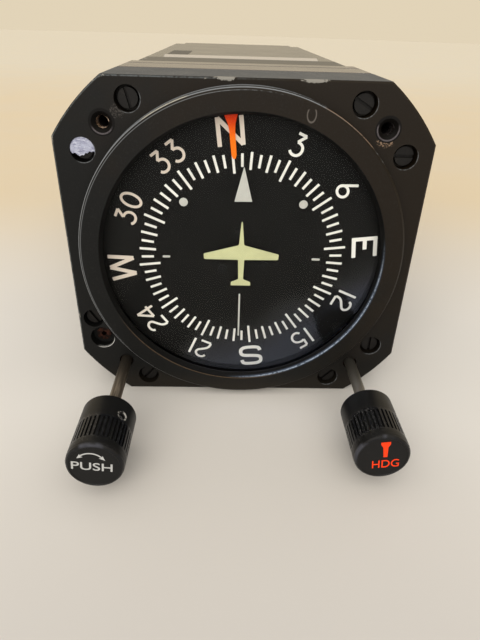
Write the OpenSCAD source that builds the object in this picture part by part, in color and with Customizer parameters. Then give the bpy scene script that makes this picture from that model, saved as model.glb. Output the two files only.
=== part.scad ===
// Panel-mounted directional gyro indicator, driven by vacuum.
// Origin: the dial axis, on the front face of the flange. +X right, +Y into the panel, +Z up.

/* [Case] */
// Width of the flange and the case
body_w = 85.8; // [85:0.1:86.4]
// Height of the flange and the case
body_h = 82; // [81:0.1:82.6]
// Radius of the arcs that form the four corners, about the dial's axis
corner_r = 51.35; // [51:0.05:51.6]
// Depth from the flange face to the rear face of the case
case_depth = 176; // [165:1:180]
// Depth of the front casting
bezel_depth = 19; // [17:0.5:19]
// Depth at which the rear case begins, behind the frame's visible band
band_end = 33; // [33:0.5:35]
// Wall thickness of the rear case
case_wall = 2.8; // [2:0.1:3]

/* [Front] */
// Outer radius of the raised dial ring
ring_r = 39.6; // [39.2:0.05:39.65]
// Height of the raised dial ring
ring_h = 3; // [2.6:0.1:3.4]
// Radius of the clear dial opening
opening_r = 34.1; // [33.5:0.1:34.4]
// Thickness of the cover glass
glass_t = 1.2; // [1:0.1:1.3]
// Radius of the compass card
card_r = 35.2; // [34.8:0.1:35.5]
// Depth of the compass card's face
card_y = 1.6; // [1.5:0.05:1.7]
// Direction in which the bug stands at rest, degrees left of the top
bug_angle = 5.7; // [0:0.1:10]
// Direction in which the card's north stands at rest, degrees left of the top
card_turn = 6.35; // [0:0.05:10]

/* [Fastening] */
// Radius of the circle that the corner screws and shafts stand on
bolt_r = 44.45; // [44.3:0.05:44.6]
// Angle of each corner screw from the diagonal
screw_step = 9.91; // [9.5:0.01:10.5]
// Radius of a corner screw's counterbore
counterbore_r = 2.8; // [2.6:0.1:2.9]
// Radius of the threaded hole in a mounting insert
insert_hole_r = 1.4; // [1.3:0.05:1.5]

/* [Knobs] */
// Radius of each knob
knob_r = 6.35; // [6.2:0.05:6.5]
// Length of each knob
knob_len = 16.7; // [15:0.1:17.5]
// Distance of the push knob's face in front of the flange
push_face = 39.4; // [38:0.1:40]
// Distance of the heading knob's face in front of the flange
hdg_face = 36.3; // [35:0.1:37]
// Radius of each knob shaft
shaft_r = 1.5; // [1.4:0.05:1.55]
// Number of grooves around a knob
grooves = 40; // [30:1:44]
// How far the push knob goes in
push_stroke = 3.2; // [3:0.1:3.3]

/* [Gearing] */
// Diametral pitch of the setting gears, teeth per inch
pitch_dp = 40; // [40:1:40]
// Teeth on each shaft pinion
pinion_teeth = 12; // [12:1:12]
// Teeth on each idler
idler_teeth = 16; // [16:1:16]
// Teeth on each large setting gear
ring_teeth = 96; // [96:1:96]
// Teeth on each bevel ring gear
bevel_teeth = 60; // [60:1:60]
// Pitch radius of the bevel ring gears at their large end
bevel_r = 30; // [30:0.1:30.4]

/* [Gyro] */
// Depth of the gyro's centre behind the flange
gyro_y = 95; // [95:1:100]
// Radius of the rotor
rotor_r = 17.5; // [16:0.1:17.6]
// Width of the rotor
rotor_w = 16; // [14:0.5:16]
// Air buckets around the rotor
buckets = 24; // [18:1:28]
// Radius of the ball that the rotor housing is turned to
housing_r = 22.5; // [22.3:0.1:22.6]
// Inner radius of the outer gimbal
gimbal_r = 23.5; // [23.4:0.1:23.6]

/* [Hidden] */
$fn = 72;

half_w = body_w / 2;
half_h = body_h / 2;
big = 300;
// The two lower diagonals carry the shafts, the two upper ones the mounting inserts.
set_angle = 225;
hdg_angle = 315;
upper_angles = [45, 135];
gasket_t = 0.6;
frame_front = bezel_depth + gasket_t;
case_front = band_end + 0.5;
case_lip_end = case_front + 8;
case_step = 0.6;
case_screw_y = case_lip_end + 4;
skirt_end = case_screw_y + 5;
pad_y = 69;
pad_slope = 4;
pad_half = 25.4;

edge = 0.4;

// Front stack, from the glass back to the mechanism plate
lip_back = -1.4;
glass_front = -1;
glass_back = glass_front + glass_t;
glass_r = 36.8;
cavity_r = 37.4;
retainer_back = 0.8;
card_t = 0.6;
carrier_y = 2.6;
carrier_t = 0.5;
bug_gear_y = 6.4;
gear_t = 1.2;
wall_front = 5;
bush_y = 1.5;
bush_end = 3.6;
bush_r = 2.6;
plate_y = 9;
plate_t = 2;
plate_r = 36.8;
set_rest_y = 12;
carriage_y = 13.5;
carriage_t = 1.2;
collar_t = 0.6;
boss_r = 5.5;
idler_pin_r = 1;
set_gear_y = set_rest_y + push_stroke;
bulkhead_y = 26;
bulkhead_t = 3;
post_r = 34.2;

// Setting gears: centre distances add up to the shafts' circle.
gear_m = 25.4 / pitch_dp;
pinion_r = gear_m * pinion_teeth / 2;
idler_r = gear_m * idler_teeth / 2;
set_r = gear_m * ring_teeth / 2;
idler_at = set_r + idler_r;
tooth_up = 0.9 * gear_m;
tooth_down = 1.2 * gear_m;
backlash = 0.14;
pressure = 20;
pocket_pinion = pinion_r + tooth_up + 0.45;
pocket_idler = idler_r + tooth_up + 0.45;

// Bevel gears: both cones meet at the gyro's centre.
bevel_m = 2 * bevel_r / bevel_teeth;
bevel_up = 0.8 * bevel_m;
bevel_down = 1.1 * bevel_m;
bevel_small = 0.9;
bevel_in = 24.4;

// Gimbals and gyro
gimbal_wall = 3;
gimbal_w = 10;
gimbal_out = gimbal_r + gimbal_wall;
boss_out = gimbal_out + 1.1;
tilt_y = gimbal_r + 0.4;
arm_z = 32.5;
arm_t = 3;
low_arm = arm_t - arm_z;
arm_w = 24;
arm_end = gyro_y + 11;
trunnion_r = 2.5;
cover_y = 9.5;
cover_end = 12;
fit = 0.04;

// The brake pin below the gyro, and the bar whose ramp lifts it against the ball
pin_r = 1.2;
pin_tip = housing_r + 1.1;
pin_lift = 1;
pin_foot = 35.85;
bar_z = -36.9;
bar_t = 1;
spring_r = 2.5;
spring_wire = 0.28;
spring_turns = 7;
ramp_start = gyro_y - pin_r;
ramp_top = bar_z + bar_t + pin_lift;
rod_x = -25;
rod_z = -30;
rod_r = 1.2;
rod_lobe_r = 1.9;

// Ports in the rear wall
port_r = 5.56;
port_boss_r = 9;
port_boss_h = 2;
inlet_z = -28.5;
vacuum_z = 22;
port_depth = 9;
tube_z = -31;
tube_r = 2.2;
chamber_y = case_depth + port_boss_h - port_depth - 2.4;

// An extrusion along +Y between two depths, drawn as seen from the front with +Z up
module along_y(y0, y1) {
    translate([0, y1, 0])
        rotate([90, 0, 0])
            linear_extrude(height = y1 - y0)
                children();
}

// A solid turned about the Y axis from points of radius and depth
module turned(points) {
    rotate([90, 0, 0])
        rotate_extrude()
            polygon([for (p = points) [p[0], -p[1]]]);
}

module tube_y(r_out, r_in, y0, y1) {
    along_y(y0, y1)
        difference() {
            circle(r_out);
            circle(r_in);
        }
}

// Puts what is drawn on the +X axis at an angle around the dial.
module at_angle(a, r) {
    rotate([0, -a, 0])
        translate([r, 0, 0])
            children();
}

// Puts a piece that stays upright at an angle and radius.
module placed(a, r) {
    translate([r * cos(a), 0, r * sin(a)])
        children();
}

// The flange's outline: straight sides, with arcs about the dial's axis for corners
module outline(inset = 0) {
    intersection() {
        square([body_w - 2 * inset, body_h - 2 * inset], center = true);
        circle(corner_r - inset);
    }
}

// A bar without ends along Z, with its four long edges cut back
module long_bar(half, y0, y1, front, rear) {
    translate([0, 0, -80])
        linear_extrude(height = 160)
            polygon([
                [-half, y0 + front], [front - half, y0], [half - front, y0], [half, y0 + front],
                [half, y1 - rear], [half - rear, y1], [rear - half, y1], [-half, y1 - rear]
            ]);
}

// A block of the outline between two depths, with broken edges at its front and rear
module block(y0, y1, front, rear, inset = 0) {
    r = corner_r - inset;
    intersection() {
        long_bar(half_w - inset, y0, y1, front, rear);
        rotate([0, 90, 0]) long_bar(half_h - inset, y0, y1, front, rear);
        turned([
            [0, y0], [r - front, y0], [r, y0 + front], [r, y1 - rear], [r - rear, y1], [0, y1]
        ]);
    }
}

// Two discs on the X axis and the straight sides that touch both
module link_2d(x1, r1, x2, r2) {
    nx = (r2 - r1) / (x1 - x2);
    nz = sqrt(1 - nx * nx);
    translate([x1, 0]) circle(r1);
    translate([x2, 0]) circle(r2);
    polygon([
        [x1 + r1 * nx, r1 * nz], [x2 + r2 * nx, r2 * nz],
        [x2 + r2 * nx, -r2 * nz], [x1 + r1 * nx, -r1 * nz]
    ]);
}

// Clearance pocket for one pinion and its idler
module gear_pocket(a) {
    rotate(a) link_2d(bolt_r, pocket_pinion, idler_at, pocket_idler);
}

// A skin through rings of points, closed on itself or with an end cap at both ends
module skin(points, size, rings, closed) {
    last = closed ? rings - 1 : rings - 2;
    walls = [
        for (ring = [0:last])
            for (k = [0:size - 1])
                let(n = (k + 1) % size, here = ring * size, next = (ring + 1) % rings * size)
                    each [[here + k, here + n, next + n], [here + k, next + n, next + k]]
    ];
    caps = closed ? [] : [
        [for (k = [size - 1:-1:0]) k], [for (k = [0:size - 1]) (rings - 1) * size + k]
    ];
    polyhedron(points = points, faces = concat(walls, caps));
}

// Directions of the corner screws; the place at the lower left beside the shaft has none.
screw_angles = [
    45 - screw_step, 45 + screw_step, 135 - screw_step, 135 + screw_step,
    225 + screw_step, 315 - screw_step, 315 + screw_step
];
// Direction of each screw's slot, as left by the last screwdriver
slot_angles = [0, -30, 104, 20, 50, 45, 90];
// The smaller screw left of that place, and its counterbore
side_screw = [-39.03, -18.05];
side_bore_r = 2.6;
side_slot = 122;
// An open bore with a brass tube in it, which stands in that place
open_bore = [-37.25, -23.91];
open_bore_r = 3.15;
open_bore_end = 2.6;
tube_out = 1.9;
tube_in = 0.7;

module bezel() {
    color("#24262a")
        difference() {
            union() {
                block(0, bezel_depth, edge, edge);
                turned([
                    [30, 1], [ring_r, 1], [ring_r, 0.5 - ring_h], [ring_r - 0.5, -ring_h],
                    [30, -ring_h]
                ]);
            }
            // The dial opening with its sloping lip, then the glass seat and the cavity
            turned([
                [0, -big], [opening_r + 0.7, -big], [opening_r + 0.7, -ring_h],
                [opening_r, lip_back], [glass_r + fit, lip_back], [glass_r + fit, retainer_back],
                [cavity_r, retainer_back], [cavity_r, big], [0, big]
            ]);
            for (a = [set_angle, hdg_angle]) {
                along_y(wall_front, big) gear_pocket(a);
                placed(a, bolt_r) tube_y(shaft_r + 0.4, 0, -big, 2);
                placed(a, bolt_r) tube_y(bush_r, 0, bush_y, wall_front + 1);
            }
            for (a = screw_angles) {
                placed(a, bolt_r) tube_y(counterbore_r, 0, -big, 3.2);
                placed(a, bolt_r) tube_y(1.5, 0, -big, big);
            }
            translate([side_screw[0], 0, side_screw[1]]) {
                tube_y(side_bore_r, 0, -big, 3);
                tube_y(1, 0, -big, 13);
            }
            translate([open_bore[0], 0, open_bore[1]]) {
                tube_y(open_bore_r, 0, -big, open_bore_end);
                tube_y(tube_out, 0, -big, 12);
            }
            for (a = upper_angles)
                placed(a, bolt_r) tube_y(2.9, 0, -big, big);
        }
}

module cover_glass() {
    color([0.75, 0.85, 0.9, 0.35])
        tube_y(glass_r, 0, glass_front, glass_back);
}

module glass_gasket() {
    color("#101010")
        tube_y(glass_r, opening_r + 0.2, lip_back, glass_front);
}

module glass_retainer() {
    color("#2c2e30")
        tube_y(glass_r, card_r + 0.3, glass_back, retainer_back);
}

module bezel_gasket() {
    color("#1a1512")
        along_y(bezel_depth, frame_front)
            difference() {
                outline(0.15);
                circle(cavity_r);
                for (a = [set_angle, hdg_angle]) gear_pocket(a);
                for (a = screw_angles)
                    rotate(a) translate([bolt_r, 0]) circle(1.5);
            }
}

// The frame: a visible band, a bulkhead, a skirt for the case and two arms for the gimbal
module gyro_frame() {
    color("#8f8a84")
        difference() {
            union() {
                frame_ring();
                frame_arms();
                tube_y(4.6, 0, bulkhead_y + 1, 60);
            }
            // The card shaft's bearings, then the push shaft's bore and the caging rod's bore
            tube_y(2.05, 0, -big, big);
            tube_y(3, 0, 57, big);
            tube_y(3, 0, -big, bulkhead_y + 1.5);
            placed(set_angle, bolt_r) tube_y(shaft_r + 0.06, 0, -big, bulkhead_y + 5);
            translate([rod_x, 0, rod_z]) tube_y(rod_r + 0.06, 0, -big, bulkhead_y + 8);
            for (a = [15, 90, 165])
                placed(a, 20) tube_y(7, 0, bulkhead_y - 1, bulkhead_y + bulkhead_t + 1);
            for (a = screw_angles)
                placed(a, bolt_r) tube_y(1.4, 0, -big, frame_front + 7);
            case_screw_places() cylinder(r = 1.2, h = 20);
            // Seats of the gimbal's two bearings, the card gear's window and the air passage
            translate([0, gyro_y, arm_z - 1]) cylinder(r = 4, h = big);
            translate([0, gyro_y, -arm_z - 1]) cylinder(r = 5, h = arm_t + 2);
            translate([-9, gyro_y - bevel_r - 3, -arm_z - 1]) cube([18, 9, arm_t + 2]);
            translate([0, 0, tube_z]) tube_y(0.9, 0, gyro_y, arm_end - 4);
            translate([0, 0, tube_z]) tube_y(tube_r, 0, arm_end - 4, big);
        }
}

module frame_ring() {
    difference() {
        union() {
            block(frame_front, band_end, edge, edge);
            along_y(band_end - 1, skirt_end) outline(case_wall + 0.15);
        }
        tube_y(cavity_r, 0, -big, bulkhead_y);
        along_y(-big, bulkhead_y) gear_pocket(set_angle);
        along_y(-big, bulkhead_y) gear_pocket(hdg_angle);
        along_y(bulkhead_y + bulkhead_t, big) outline(case_wall + 2.6);
    }
}

module frame_arms() {
    for (z = [arm_z, -arm_z])
        translate([0, 0, z])
            linear_extrude(height = arm_t)
                difference() {
                    translate([-arm_w / 2, bulkhead_y + 1])
                        square([arm_w, arm_end - bulkhead_y - 1]);
                    // Long windows lighten the arm between the bulkhead and the gimbal.
                    for (x = [-5, 5])
                        long_slot(x, 36, 58);
                }
    // The block that the air tube plugs into
    translate([-5, arm_end - 7, tube_z - 3])
        cube([10, 7, 6]);
}

// A slot with round ends along Y in the XY plane
module long_slot(x, y0, y1) {
    translate([x - 3, y0]) square([6, y1 - y0]);
    translate([x, y0]) circle(3);
    translate([x, y1]) circle(3);
}

// Puts what is drawn on each of the case screws' axes, which point away from the dial's axis.
module case_screw_places() {
    for (a = [45, 135, 225, 315])
        at_angle(a, 0)
            translate([corner_r - case_step - 9.3, case_screw_y, 0])
                rotate([0, 90, 0])
                    children();
}

module case_gasket() {
    color("#1a1512")
        along_y(band_end, case_front)
            difference() {
                outline(0.15);
                outline(case_wall + 0.15);
            }
}

module rear_case() {
    color("#7d7873")
        difference() {
            union() {
                block(case_front, case_lip_end, edge, edge);
                block(case_lip_end - 1, case_depth, edge, 1.2, case_step);
                case_pad();
                mirror([0, 0, 1]) case_pad();
                for (z = [inlet_z, vacuum_z])
                    translate([0, 0, z])
                        tube_y(port_boss_r, 0, case_depth - 1, case_depth + port_boss_h);
            }
            difference() {
                along_y(case_front - 1, case_depth - 3) outline(case_wall);
                translate([0, 0, inlet_z]) tube_y(port_boss_r, 0, chamber_y - 6, case_depth);
                translate([0, 0, vacuum_z]) tube_y(port_boss_r, 0, case_depth - 8, case_depth);
            }
            // The air inlet: its port, the filter's chamber and the tube's seat
            translate([0, 0, inlet_z])
                tube_y(port_r, 0, case_depth + port_boss_h - port_depth, big);
            translate([0, 0, inlet_z]) tube_y(4, 0, chamber_y, big);
            translate([0, 0, tube_z]) tube_y(tube_r, 0, chamber_y - 8, chamber_y + 1);
            translate([0, 0, vacuum_z]) tube_y(port_r, 0, case_depth - 10, big);
            case_screw_places() {
                cylinder(r = 1.5, h = 20);
                translate([0, 0, 7.4]) cylinder(r1 = 1.22, r2 = 3.22, h = 2);
            }
        }
}

// Cast pad along the top, with a sloping front end
module case_pad() {
    translate([-pad_half, 0, 0])
        rotate([90, 0, 90])
            linear_extrude(height = 2 * pad_half)
                polygon([
                    [pad_y, half_h - 2], [case_depth - 5, half_h - 2], [case_depth - 5, half_h],
                    [pad_y + pad_slope, half_h], [pad_y, half_h - case_step]
                ]);
}

// A slotted cheese-head screw along +Y with its head's face at the origin
module slotted_screw(head_r, head_h, shank_r, length, slot = 35) {
    difference() {
        union() {
            tube_y(head_r, 0, 0, head_h);
            tube_y(shank_r, 0, head_h, length);
        }
        rotate([0, -slot, 0])
            translate([-head_r - 1, -1, -0.35])
                cube([2 * head_r + 2, 1.8, 0.7]);
    }
}

module bezel_screws() {
    color("#3a3a3c") {
        for (i = [0:len(screw_angles) - 1])
            placed(screw_angles[i], bolt_r)
                translate([0, 1.2, 0])
                    slotted_screw(2.15, 2, 1.4, 22, slot_angles[i]);
        translate([side_screw[0], 1.4, side_screw[1]])
            slotted_screw(2.05, 1.6, 1, 9, side_slot);
    }
}

// Countersunk screws in the case's corners, which hold it on the frame's skirt
module case_screws() {
    color("#55565a")
        case_screw_places()
            difference() {
                union() {
                    cylinder(r = 1.2, h = 7.6);
                    translate([0, 0, 7.4]) cylinder(r1 = 1.2, r2 = 2.8, h = 1.6);
                }
                translate([-4, -0.35, 8.2]) cube([8, 0.7, 2]);
            }
}

module mount_inserts() {
    color("#b08d4a") {
        for (a = upper_angles)
            placed(a, bolt_r)
                turned([
                    [insert_hole_r + 0.9, 0], [2.9, 0], [2.9, 13], [insert_hole_r, 13],
                    [insert_hole_r, 0.9]
                ]);
        translate([open_bore[0], 0, open_bore[1]]) tube_y(tube_out, tube_in, 2, 12);
    }
}

module shaft_bushes() {
    color("#a88a50")
        for (a = [set_angle, hdg_angle])
            placed(a, bolt_r) tube_y(bush_r, shaft_r + fit, bush_y, bush_end);
}

module shaft_seals() {
    color("#151515")
        for (a = [set_angle, hdg_angle])
            placed(a, bolt_r) tube_y(bush_r, shaft_r + fit, bush_end, wall_front);
}

// The mechanism plate, with the boss that the bug gear turns on
module front_plate() {
    color("#9a9da0")
        difference() {
            union() {
                along_y(plate_y, plate_y + plate_t) front_plate_outline();
                tube_y(boss_r, 0, 5.7, plate_y + 1);
            }
            tube_y(4.3, 0, -big, plate_y - 0.2);
            tube_y(3, 0, -big, big);
            tube_y(big, boss_r - 0.4, 5.9, 6.25);
        }
}

module front_plate_outline() {
    difference() {
        union() {
            circle(plate_r);
            for (a = [set_angle, hdg_angle])
                rotate(a) link_2d(bolt_r, pocket_pinion - 0.4, idler_at - 4, 5);
        }
        for (a = [set_angle, hdg_angle])
            rotate(a) translate([bolt_r, 0]) circle(shaft_r + 0.06);
        rotate(set_angle) translate([idler_at, 0]) circle(idler_pin_r + 0.05);
        rotate(hdg_angle) translate([idler_at, 0]) circle(idler_pin_r);
        for (a = [0, 90, 180, 270])
            rotate(a) translate([post_r, 0]) circle(0.9);
        for (a = [30, 90, 150, 270])
            rotate(a) translate([20, 0]) circle(7);
    }
}

// Split ring in the boss's groove, which keeps the bug gear on
module bug_gear_clip() {
    color("#55565a")
        along_y(5.9, 6.25)
            difference() {
                circle(6.8);
                circle(boss_r - 0.4);
                translate([0, -1]) square([10, 2]);
            }
}

module plate_posts() {
    color("#8b8f93")
        for (a = [0, 90, 180, 270])
            placed(a, post_r) tube_y(2.2, 0.9, plate_y + plate_t, bulkhead_y);
}

module plate_screws() {
    color("#55565a")
        for (a = [0, 90, 180, 270])
            placed(a, post_r) translate([0, plate_y - 1.2, 0]) slotted_screw(1.8, 1.2, 0.9, 8);
}

module hdg_idler_pin() {
    color("#9aa0a5")
        placed(hdg_angle, idler_at) {
            tube_y(idler_pin_r, 0, bug_gear_y - 0.2, plate_y + plate_t);
            tube_y(1.7, 0, bug_gear_y - 0.8, bug_gear_y - 0.2);
        }
}

// The card shaft's bearings: one in the plate, two in the bulkhead's long boss
module card_bearings() {
    color("#b7bbc0") {
        tube_y(3, shaft_r + fit, plate_y, plate_y + plate_t);
        tube_y(3, shaft_r + fit, bulkhead_y, bulkhead_y + 1.5);
        tube_y(3, shaft_r + fit, 57, 60);
    }
}

module upper_bearing() {
    color("#b7bbc0")
        translate([0, gyro_y, arm_z])
            difference() {
                cylinder(r = 4, h = arm_t);
                translate([0, 0, -1]) cylinder(r = shaft_r + fit, h = arm_t + 2);
            }
}

module lower_bearing() {
    color("#b7bbc0")
        translate([0, gyro_y, -arm_z])
            difference() {
                cylinder(r = 5, h = arm_t);
                translate([0, 0, -1]) cylinder(r = trunnion_r + fit, h = arm_t + 2);
            }
}

module inlet_tube() {
    color("#b08d4a")
        translate([0, 0, tube_z])
            tube_y(tube_r, 1.4, arm_end - 4, chamber_y);
}

module inlet_filter() {
    color("#c9c4b4")
        translate([0, 0, inlet_z])
            tube_y(4, 0, chamber_y + 0.6, chamber_y + 1.8);
}

module filter_ring() {
    color("#8b8f93")
        translate([0, 0, inlet_z])
            tube_y(4, 2.8, chamber_y + 1.8, chamber_y + 2.4);
}

// The outer gimbal: a ring with trunnions above and below, and bearing bosses at its sides
module outer_gimbal() {
    color("#a9adb1")
        translate([0, gyro_y, 0])
            difference() {
                union() {
                    tube_y(gimbal_out, gimbal_r, -gimbal_w / 2, gimbal_w / 2);
                    for (x = [gimbal_r + 0.5, -boss_out])
                        translate([x, 0, 0])
                            rotate([0, 90, 0])
                                cylinder(r = 5, h = boss_out - gimbal_r - 0.5);
                    translate([0, 0, gimbal_r + 0.5]) cylinder(r = 6, h = 3);
                    translate([0, 0, gimbal_r + 0.5])
                        cylinder(r = shaft_r, h = arm_z + arm_t - gimbal_r - 0.5);
                    translate([0, 0, -gimbal_out - 1]) cylinder(r = 5, h = 3);
                    translate([0, 0, -arm_z]) cylinder(r = trunnion_r, h = 8);
                }
                rotate([0, 90, 0]) translate([0, 0, -50]) cylinder(r = 3.5, h = 100);
                translate([0, 0, -50]) cylinder(r = pin_r + 0.08, h = 50);
                // The ring's inner face stays round where the bosses stand behind it.
                tube_y(gimbal_r, 0, -20, 20);
                for (a = [30, 150, 270])
                    rotate(a) translate([4, 0, 25]) cylinder(r = 0.7, h = 10);
            }
}

function spur_half(n, rp, r) = let(
    base = rp * cos(pressure),
    inv_p = tan(pressure) * 180 / PI - pressure,
    at = acos(min(1, base / r)),
    inv_r = tan(at) * 180 / PI - at
) 90 / n * (1 - backlash) + inv_p - inv_r;

// Outline of a spur gear: each tooth has its root, pitch and tip points.
module spur_outline(n, turn = 0) {
    rp = gear_m * n / 2;
    root = rp - tooth_down;
    low = max(root + 0.1, rp * cos(pressure));
    tip = rp + tooth_up;
    foot = 12 / n;
    polygon([
        for (i = [0:n - 1])
            for (p = [
                [root, -spur_half(n, rp, low) - foot], [low, -spur_half(n, rp, low)],
                [rp, -spur_half(n, rp, rp)], [tip, -spur_half(n, rp, tip)],
                [tip, spur_half(n, rp, tip)], [rp, spur_half(n, rp, rp)],
                [low, spur_half(n, rp, low)], [root, spur_half(n, rp, low) + foot]
            ])
                let(a = turn + i * 360 / n + p[1])
                    [p[0] * cos(a), p[0] * sin(a)]
    ]);
}

// One point of a bevel gear's large end, as radius and height, up to the tip or down to the root
function bevel_point(step) = [bevel_r + step / sqrt(2), bevel_r - step / sqrt(2)];
function bevel_angle(step) = (
    bevel_m * PI / 4 * (1 - backlash) - step * tan(pressure)
) / bevel_r * 180 / PI;

// A ring of straight bevel teeth about +Z, whose cones meet at the origin
module bevel_ring(turn) {
    marks = [
        [-bevel_down, -bevel_angle(-bevel_down)], [bevel_up, -bevel_angle(bevel_up)],
        [bevel_up, bevel_angle(bevel_up)], [-bevel_down, bevel_angle(-bevel_down)]
    ];
    back_z = bevel_r + bevel_down;
    inner_z = (bevel_r + bevel_down / sqrt(2)) * bevel_small;
    outline = [
        for (i = [0:bevel_teeth - 1])
            for (m = marks)
                let(a = turn + i * 360 / bevel_teeth + m[1], p = bevel_point(m[0]))
                    [p[0] * cos(a), p[0] * sin(a), p[1]]
    ];
    small_end = [for (p = outline) bevel_small * p];
    inner_low = [
        for (p = outline)
            let(k = bevel_in / norm([p[0], p[1]]))
                [p[0] * k, p[1] * k, inner_z]
    ];
    inner_top = [for (p = inner_low) [p[0], p[1], back_z]];
    skin(concat(outline, small_end, inner_low, inner_top), 4 * bevel_teeth, 4, true);
}

// The gimbal's half of the bevel pair, on top of the outer gimbal
module gimbal_gear() {
    color("#b9a36a")
        translate([0, gyro_y, 0]) {
            bevel_ring(0);
            difference() {
                union() {
                    translate([0, 0, gimbal_out + 2.4]) cylinder(r = bevel_in + 0.3, h = 1.7);
                    translate([0, 0, gimbal_out + 0.5]) cylinder(r = 6, h = 2.4);
                }
                translate([0, 0, 20]) cylinder(r = shaft_r, h = 20);
                for (a = [0:60:300])
                    rotate(a) translate([15, 0, 20]) cylinder(r = 5.6, h = 20);
                for (a = [30, 150, 270])
                    rotate(a) translate([4, 0, 20]) cylinder(r = 0.7, h = 20);
            }
        }
}

module gimbal_gear_screws() {
    color("#55565a")
        translate([0, gyro_y, gimbal_out + 4.1])
            for (a = [30, 150, 270])
                rotate(a) translate([4, 0, 0]) {
                    cylinder(r = 1.2, h = 0.7);
                    translate([0, 0, -5.4]) cylinder(r = 0.7, h = 5.5);
                }
}

module tilt_bearings() {
    color("#c3c7cb")
        translate([0, gyro_y, 0])
            for (x = [tilt_y, -tilt_y - 3])
                translate([x, 0, 0])
                    rotate([0, 90, 0])
                        difference() {
                            cylinder(r = 3.5, h = 3);
                            translate([0, 0, -1]) cylinder(r = shaft_r + fit, h = 5);
                        }
}

// A slice of the ball that the rotor housing is turned to, down to an inner radius
module ball_slice(y0, y1, r_in) {
    rotate([90, 0, 0])
        rotate_extrude()
            intersection() {
                circle(housing_r);
                translate([r_in, -y1]) square([housing_r, y1 - y0]);
            }
}

// The inner gimbal: the ball's ring, open where the air leaves, with a trunnion at each side
module rotor_housing() {
    color("#c2c5c8")
        translate([0, gyro_y, 0])
            difference() {
                union() {
                    ball_slice(-cover_y, cover_y, rotor_r + 0.8);
                    for (x = [housing_r - 1.4, -tilt_y - 3])
                        translate([x, 0, 0])
                            rotate([0, 90, 0])
                                cylinder(r = shaft_r, h = tilt_y + 4.4 - housing_r);
                }
                for (turn = [0, 180])
                    rotate([0, turn, 0]) translate([14.6, 0, 8]) cylinder(r = 1, h = 16);
                for (a = [28, 112, 208, 292])
                    at_angle(a, 15) translate([0, -4, -3]) cube([12, 8, 6]);
                for (a = [15:60:315])
                    at_angle(a, 19.3) tube_y(0.5, 0, -20, 20);
            }
}

module rotor_covers() {
    color("#c2c5c8")
        translate([0, gyro_y, 0])
            for (side = [0, 1])
                mirror([0, side, 0])
                    difference() {
                        ball_slice(cover_y, cover_end, 0);
                        tube_y(3, 0, 0, 40);
                        for (a = [0:60:300]) {
                            at_angle(a, 10.5) tube_y(2.6, 0, 0, 40);
                            at_angle(a + 15, 19.3) tube_y(0.5, 0, 0, 40);
                        }
                    }
}

module cover_screws() {
    color("#55565a")
        translate([0, gyro_y, 0])
            for (y = [4, -10.6])
                for (a = [15:60:315])
                    placed(a, 19.3) tube_y(0.5, 0, y, y + 6.6);
}

module rotor_bearings() {
    color("#9ea3a8")
        translate([0, gyro_y, 0]) {
            tube_y(3, shaft_r + fit, cover_y, cover_end);
            tube_y(3, shaft_r + fit, -cover_end, -cover_y);
        }
}

// Six-sided caps that hold the rotor's bearings in the covers
module bearing_caps() {
    color("#b08d4a")
        translate([0, gyro_y, 0])
            for (side = [0, 1])
                mirror([0, side, 0])
                    difference() {
                        along_y(cover_end, cover_end + 1.8) circle(4.4, $fn = 6);
                        tube_y(2, 0, 0, cover_end + 0.6);
                    }
}

// Two jets in the housing's wall, aimed at the rotor's buckets from opposite sides
module air_jets() {
    color("#b08d4a")
        translate([0, gyro_y, 0])
            for (turn = [0, 180])
                rotate([0, turn, 0])
                    translate([14.6, 0, 11.6])
                        difference() {
                            cylinder(r = 1, h = 4.6);
                            translate([0, 0, -1]) cylinder(r = 0.5, h = 9);
                        }
}

module rotor() {
    color("#a58f58")
        translate([0, gyro_y, 0])
            difference() {
                turned([
                    [shaft_r, -6], [4, -6], [4, -2.4], [11, -2.4], [11, -rotor_w / 2],
                    [rotor_r, -rotor_w / 2], [rotor_r, rotor_w / 2], [11, rotor_w / 2],
                    [11, 2.4], [4, 2.4], [4, 6], [shaft_r, 6]
                ]);
                for (i = [0:buckets - 1])
                    rotate([0, i * 360 / buckets, 0])
                        translate([rotor_r + 0.5, 0, 0])
                            tube_y(1.6, 0, -4, 4);
            }
}

module rotor_shaft() {
    color("#c8ccd0")
        translate([0, gyro_y, 0])
            tube_y(shaft_r, 0, -cover_end, cover_end);
}

module compass_card() {
    color("#17181a")
        difference() {
            tube_y(card_r, 0, card_y, card_y + card_t);
            hub_screw_places() tube_y(0.5, 0, 0, 10);
        }
}

module hub_screw_places() {
    for (a = [0, 120, 240])
        placed(a + 90 + card_turn, 6.1) children();
}

module card_hub() {
    color("#8b8f93")
        difference() {
            turned([
                [0, card_y + card_t], [9, card_y + card_t], [9, carrier_y - 0.05],
                [7.5, carrier_y - 0.05], [7.5, carrier_y + carrier_t + 0.5],
                [4, carrier_y + carrier_t + 0.5], [4, 8.6], [0, 8.6]
            ]);
            tube_y(shaft_r, 0, card_y + card_t + 0.4, 20);
            hub_screw_places() tube_y(0.5, 0, 0, 3.4);
            tube_y(20, 7.1, carrier_y + carrier_t + 0.1, carrier_y + carrier_t + 0.35);
        }
}

// Split ring in the hub's groove, which keeps the bug's carrier on
module carrier_clip() {
    color("#55565a")
        along_y(carrier_y + carrier_t + 0.1, carrier_y + carrier_t + 0.35)
            difference() {
                circle(8.6);
                circle(7.1);
                translate([0, -1.5]) square([12, 3]);
            }
}

module hub_screws() {
    color("#2b2b2d")
        hub_screw_places() {
            tube_y(1.1, 0, card_y - 0.35, card_y);
            tube_y(0.5, 0, card_y - 0.1, 3.4);
        }
}

module card_shaft() {
    color("#c8ccd0")
        tube_y(shaft_r, 0, card_y + card_t + 0.4, gyro_y - bevel_r + 0.8);
}

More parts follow.
